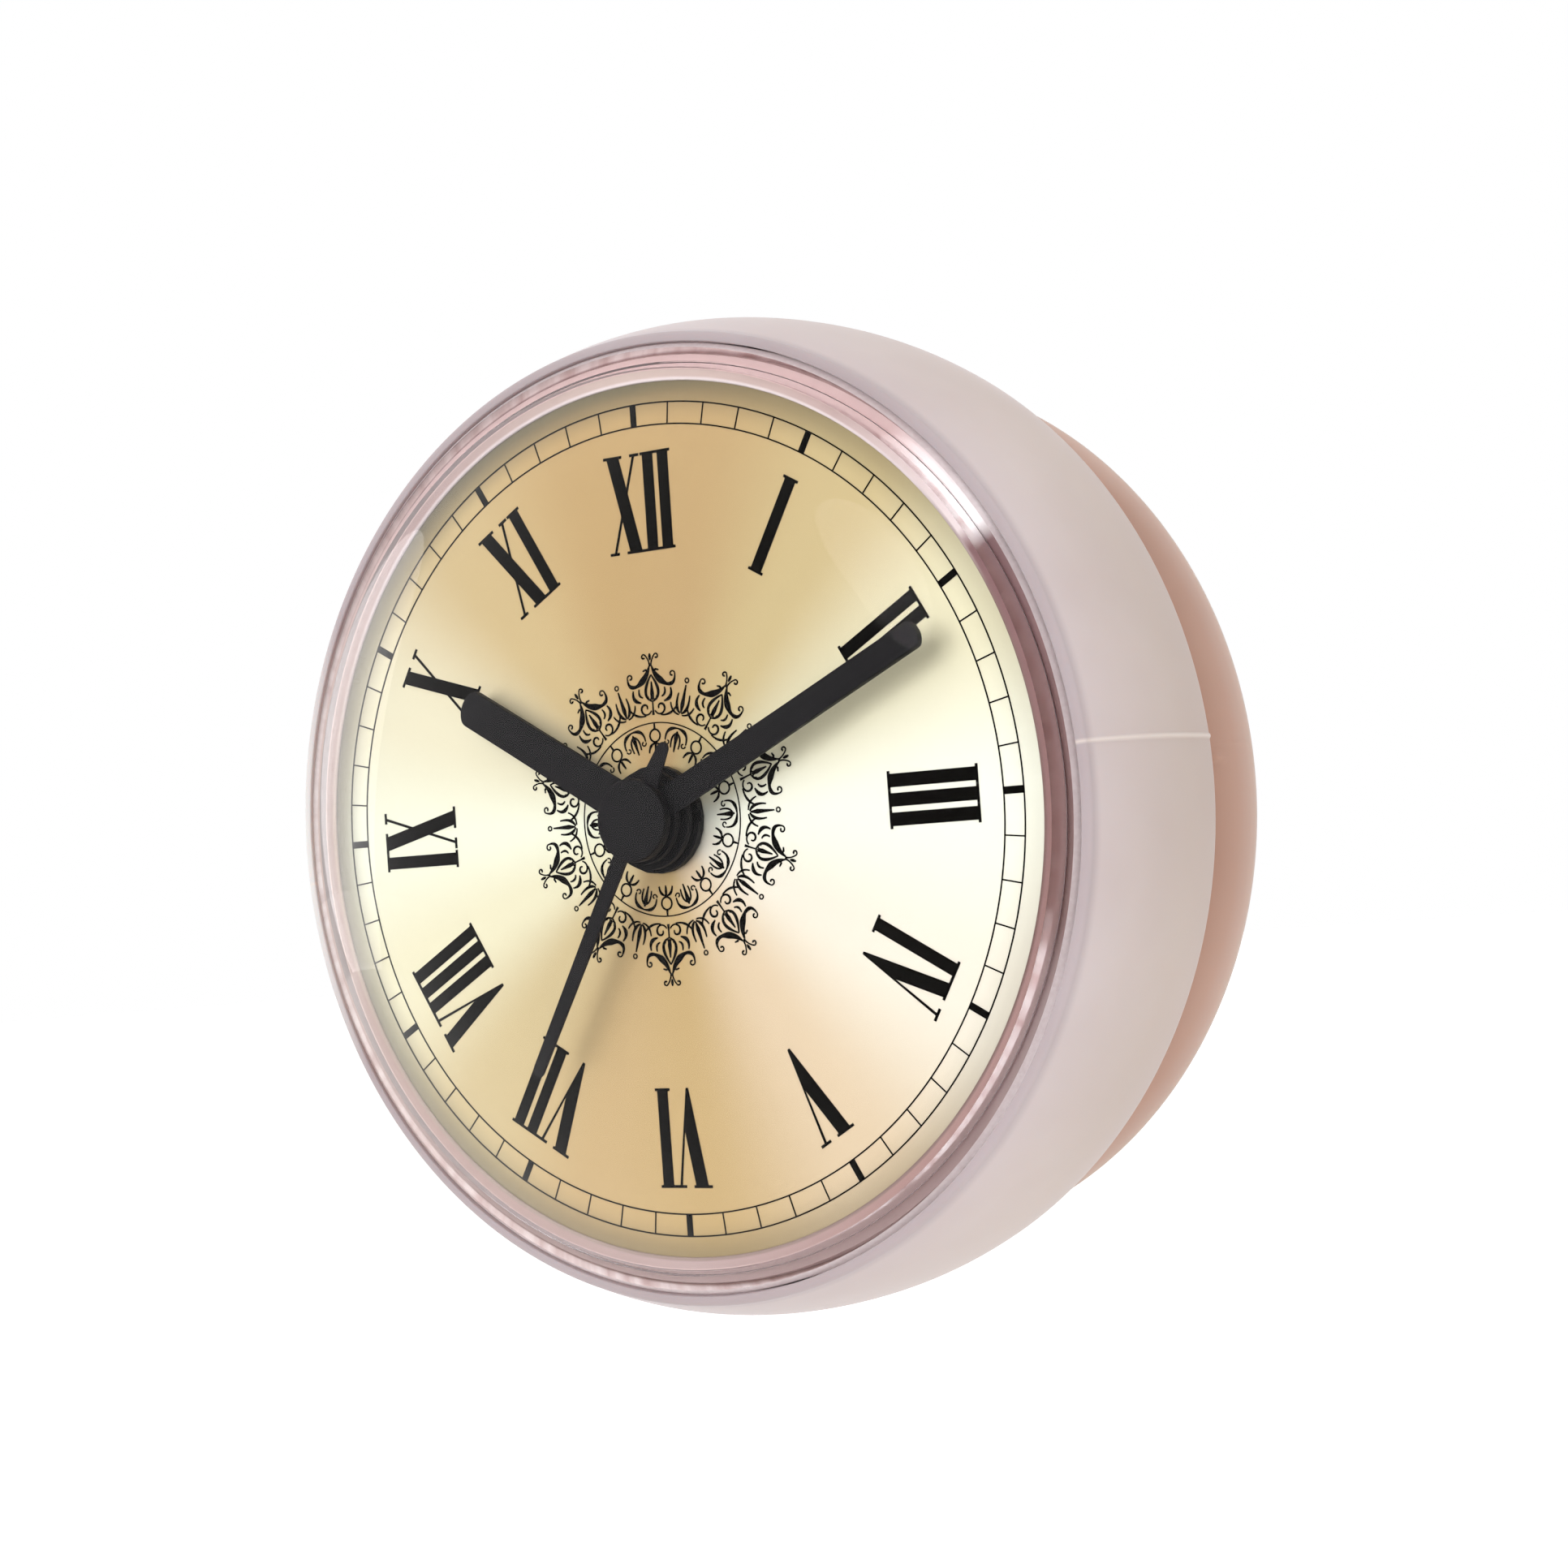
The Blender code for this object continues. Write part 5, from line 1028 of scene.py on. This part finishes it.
for name, body, node, length, half_width, tip, hub, rise, angle in (
    ("hour_hand_blade", "hours", "hour_hand", 0.0187, 0.00135, 0.0009, 0.0035, 0.0011, 300.7),
    ("minute_hand_blade", "minutes", "minute_hand", 0.0257, 0.00095, 0.0006, 0.0031, 0.0020, 65.2),
):
    low = DIAL_FACE + rise
    blade = slab(hand_outline(length, half_width, tip, hub), low, low + HAND_THICKNESS, angle)
    finish_piece(name, mesh_from(blade), lacquer, body, [node])

# The second hand is one strip from tip to tail, under a cap that covers the other hands' hubs
outline = round_tip(SECOND_LENGTH, SECOND_TIP, SECOND_TIP)
outline += [(-SECOND_ROOT, CAP_RADIUS), (-TAIL_ROOT, -CAP_RADIUS)]
outline += [(-x, -y) for x, y in round_tip(TAIL_LENGTH, TAIL_TIP, TAIL_TIP)]
outline += [(TAIL_ROOT, -CAP_RADIUS), (SECOND_ROOT, CAP_RADIUS)]
second = slab(outline, SECOND_LOW, SECOND_HIGH, SECOND_ANGLE)
cap_side = (CAP_RADIUS, CAP_HIGH - CAP_EDGE)
cap_profile = [(0.0, CAP_LOW), (CAP_RADIUS, CAP_LOW), cap_side]
cap_profile += bend(cap_side, (CAP_RADIUS, CAP_HIGH), (CAP_RADIUS - CAP_EDGE, CAP_HIGH), 4)
cap_profile.append((0.0, CAP_HIGH))
second.from_mesh(turned(cap_profile, even_angles(CAP_STEPS)))
finish_piece("second_hand_blade", mesh_from(second), lacquer, "seconds", ["second_hand"])


# Lens: injection-moulded clear acrylic, a low dome with a thick side wall that slips over the dial's
# seat. The wall, with the gasket and the seal behind it, is what shows as the band round the dial.

LENS_RADIUS = 0.0333
LENS_INNER = 0.0313
LENS_CORNER = 0.0263
LENS_FOOT = 0.0245
LENS_TOP = 0.0317
LENS_WALL = 0.0012
LENS_CHAMFER = 0.0001
DOME_POWER = 5              # the middle is nearly flat, and the edge falls away


def dome(shares, below=0.0):
    """Points of the dome at shares of the lens's radius, or of the surface at a distance below it."""
    rise = LENS_TOP - LENS_CORNER
    return [(LENS_RADIUS * s, LENS_CORNER + rise * (1 - s ** DOME_POWER) - below) for s in shares]


dome_shares = [i / 32 for i in range(32)]
lens_profile = dome(dome_shares)
bevel_start = (0.03296, 0.02660)
lens_profile += bend(lens_profile[-1], (0.0328, 0.02676), bevel_start, 4)
bevel_end = (LENS_RADIUS, 0.0261)
lens_profile += bend(bevel_start, (0.03322, 0.02642), bevel_end, 8)
lens_profile += [(LENS_RADIUS, 0.0256), (LENS_RADIUS, LENS_FOOT + LENS_CHAMFER)]
lens_profile += [(LENS_RADIUS - LENS_CHAMFER, LENS_FOOT), (LENS_INNER + LENS_CHAMFER, LENS_FOOT)]
lens_profile.append((LENS_INNER, LENS_FOOT + LENS_CHAMFER))
# The inner surface is parallel to the dome
inner_shares = [LENS_INNER / LENS_RADIUS] + [s for s in dome_shares[::-1] if s < LENS_INNER / LENS_RADIUS]
lens_profile += dome(inner_shares, LENS_WALL)

# Clear acrylic: polished, a little uneven from its flow, and darker where the eye meets it at a slant
acrylic, tree, shader, place = new_material(
    "clear_acrylic", IOR=1.49, Transmission_Weight=1.0, Specular_Tint=linear("#404040")
)
facing = add_node(tree, "ShaderNodeLayerWeight", {"Blend": 0.5}).outputs["Facing"]
vary(tree, shader, facing, [(0.0, "#fbf8f9"), (0.72, "#fbf8f9"), (0.86, "#b9b4b7"), (1.0, "#5c575b")])
flow = add_node(tree, "ShaderNodeTexNoise", {"Vector": place, "Scale": 40.0, "Detail": 1.0})
vary(tree, shader, flow.outputs["Fac"], roughness=(0.0, 0.03))


def let_lamps_through(tree, shader, colour):
    """Lamps reach what lies behind the lens, which a refracting material alone would leave in shadow."""
    clear = add_node(tree, "ShaderNodeBsdfTransparent", {"Color": linear(colour)})
    through = add_node(tree, "ShaderNodeMixShader", {
        0: add_node(tree, "ShaderNodeLightPath").outputs["Is Shadow Ray"],
        1: shader.outputs["BSDF"], 2: clear.outputs["BSDF"],
    })
    tree.links.new(through.outputs["Shader"], tree.nodes["Material Output"].inputs["Surface"])


let_lamps_through(tree, shader, "#f7f5f5")

# The bevel and the side are matt from the tool: they scatter the light, so the bevel looks like a pale ring
matt_bevel, tree, shader, place = new_material(
    "matt_acrylic", IOR=1.49, Roughness=0.45, Transmission_Weight=0.45
)
frost = add_node(tree, "ShaderNodeTexNoise", {"Vector": place, "Scale": 3000.0, "Detail": 2.0})
frosted = add_node(tree, "ShaderNodeValToRGB", {"Fac": frost.outputs["Fac"]}, [
    (0.35, "#d3c6c8"), (0.65, "#dcd1d3"),
])
# Painted reflection: pinker near 9 o'clock, where the pink band shows through the bevel
painted_pink_near_nine = add_node(tree, "ShaderNodeValToRGB", {"Fac": round_axis(tree, place)}, [
    (0.0, "#d3b5a6"), (0.08, "#dfc6bb"), (0.18, "#ffffff"), (0.84, "#ffffff"), (0.93, "#dfc6bb"),
    (1.0, "#d3b5a6"),
])
mixed = add_node(tree, "ShaderNodeMix", {0: 1.0, 6: frosted.outputs["Color"], 7: painted_pink_near_nine.outputs["Color"]},
                 data_type="RGBA", blend_type="MULTIPLY")
tree.links.new(mixed.outputs[2], shader.inputs["Base Color"])
vary(tree, shader, frost.outputs["Fac"], relief=(0.3, 0.00001))
let_lamps_through(tree, shader, "#d8d0d2")

lens = finish_piece("domed_lens", turned(lens_profile), acrylic, "core", ["lens"], 40.0)
lens.data.materials.append(matt_bevel)
for face in lens.data.polygons:
    if -face.center.y < bevel_start[1] and math.hypot(face.center.x, face.center.z) > bevel_start[0]:
        face.material_index = 1


# Studio: a pale floor well below the clock, which hangs as on its wall, six round soft lamps, the strongest
# of them above in front, and an even white surround.

AZIMUTH, ELEVATION, ROLL = math.radians(34.257), math.radians(-1.595), math.radians(-4.086)
VIEW_DISTANCE = 0.206961
VIEW_SHIFT = (0.008352, 0.002475)
SENSOR_WIDTH = 36.0
FOCAL_LENGTH = 67.592
SURROUND_LIGHT = 0.62       # what the surround gives the clock. The camera sees it at 1, which is white.
FLOOR_HEIGHT = -0.11
FLOOR_RADIUS = 3.0
LAMPS_AIM = (0.0, -0.02, 0.0)


def seen_or_mirrored(tree):
    """1 for a ray from the camera, from a gloss or through glass, and 0 for one that only carries light."""
    rays = add_node(tree, "ShaderNodeLightPath").outputs
    either = add_node(tree, "ShaderNodeMath", {0: rays["Is Camera Ray"], 1: rays["Is Glossy Ray"]},
                      operation="MAXIMUM")
    return add_node(tree, "ShaderNodeMath", {0: either.outputs[0], 1: rays["Is Transmission Ray"]},
                    operation="MAXIMUM").outputs[0]


world = bpy.data.worlds.new("studio")
bpy.context.scene.world = world
world.use_nodes = True
tree = world.node_tree
tree.nodes.clear()
lighting = add_node(tree, "ShaderNodeBackground", {"Color": linear("#ffffff"), "Strength": SURROUND_LIGHT})
backdrop = add_node(tree, "ShaderNodeBackground", {"Color": linear("#ffffff"), "Strength": 1.0})
surround = add_node(tree, "ShaderNodeMixShader", {
    0: seen_or_mirrored(tree), 1: lighting.outputs[0], 2: backdrop.outputs[0],
})
add_node(tree, "ShaderNodeOutputWorld", {"Surface": surround.outputs[0]})

floor_paint, tree, shader, place = new_material(
    "floor_paint", Roughness=0.9, Emission_Color=linear("#ffffff")
)
mottle = add_node(tree, "ShaderNodeTexNoise", {"Vector": place, "Scale": 8.0})
vary(tree, shader, mottle.outputs["Fac"], [(0.4, "#e2e1df"), (0.6, "#e6e5e3")])
glow = add_node(tree, "ShaderNodeMath", {0: seen_or_mirrored(tree), 1: SURROUND_LIGHT}, operation="MULTIPLY")
tree.links.new(glow.outputs[0], shader.inputs["Emission Strength"])

work = bmesh.new()
bmesh.ops.create_circle(work, cap_ends=True, segments=64, radius=FLOOR_RADIUS)
floor = bpy.data.objects.new("floor", mesh_from(work))
floor.location = (0.0, 0.0, FLOOR_HEIGHT)
floor.data.materials.append(floor_paint)
bpy.context.scene.collection.objects.link(floor)

for name, place, size, power in (
    ("key_lamp", (-0.06, -0.80, 0.36), 0.30, 2.15),
    ("side_lamp", (0.75, -0.35, 0.10), 0.50, 1.0),
    ("edge_lamp", (0.49, 0.02, 0.63), 0.25, 0.35),
    ("low_lamp", (0.06, -0.09, -0.104), 0.12, 0.055),
    ("left_lamp", (-0.75, -0.14, 0.10), 0.50, 1.3),
    ("top_lamp", (0.10, -0.28, 0.78), 0.40, 0.85),
):
    lamp = bpy.data.lights.new(name, "AREA")
    lamp.shape = "DISK"
    lamp.size = size
    lamp.energy = power
    lamp_object = bpy.data.objects.new(name, lamp)
    lamp_object.location = place
    lamp_object.visible_glossy = False
    towards = Vector(LAMPS_AIM) - Vector(place)
    lamp_object.rotation_euler = towards.to_track_quat("-Z", "Y").to_euler()
    bpy.context.scene.collection.objects.link(lamp_object)

back = Vector((
    math.sin(AZIMUTH) * math.cos(ELEVATION), -math.cos(AZIMUTH) * math.cos(ELEVATION), math.sin(ELEVATION)
))
level = (-back).cross(Vector((0.0, 0.0, 1.0))).normalized()
upright = level.cross(-back)
right = math.cos(ROLL) * level + math.sin(ROLL) * upright
up = math.cos(ROLL) * upright - math.sin(ROLL) * level
camera = bpy.data.objects.new("camera", bpy.data.cameras.new("camera"))
camera.data.sensor_width = SENSOR_WIDTH
camera.data.lens = FOCAL_LENGTH
camera.data.clip_start = 0.01
camera.data.clip_end = 20.0
turn = Matrix((right, up, back)).transposed()
middle = Vector((0.0, -DIAL_FACE, 0.0))
camera.matrix_world = Matrix.Translation(
    middle + back * VIEW_DISTANCE + right * VIEW_SHIFT[0] + up * VIEW_SHIFT[1]
) @ turn.to_4x4()
bpy.context.scene.collection.objects.link(camera)
bpy.context.scene.camera = camera
bpy.context.scene.view_settings.view_transform = "Standard"
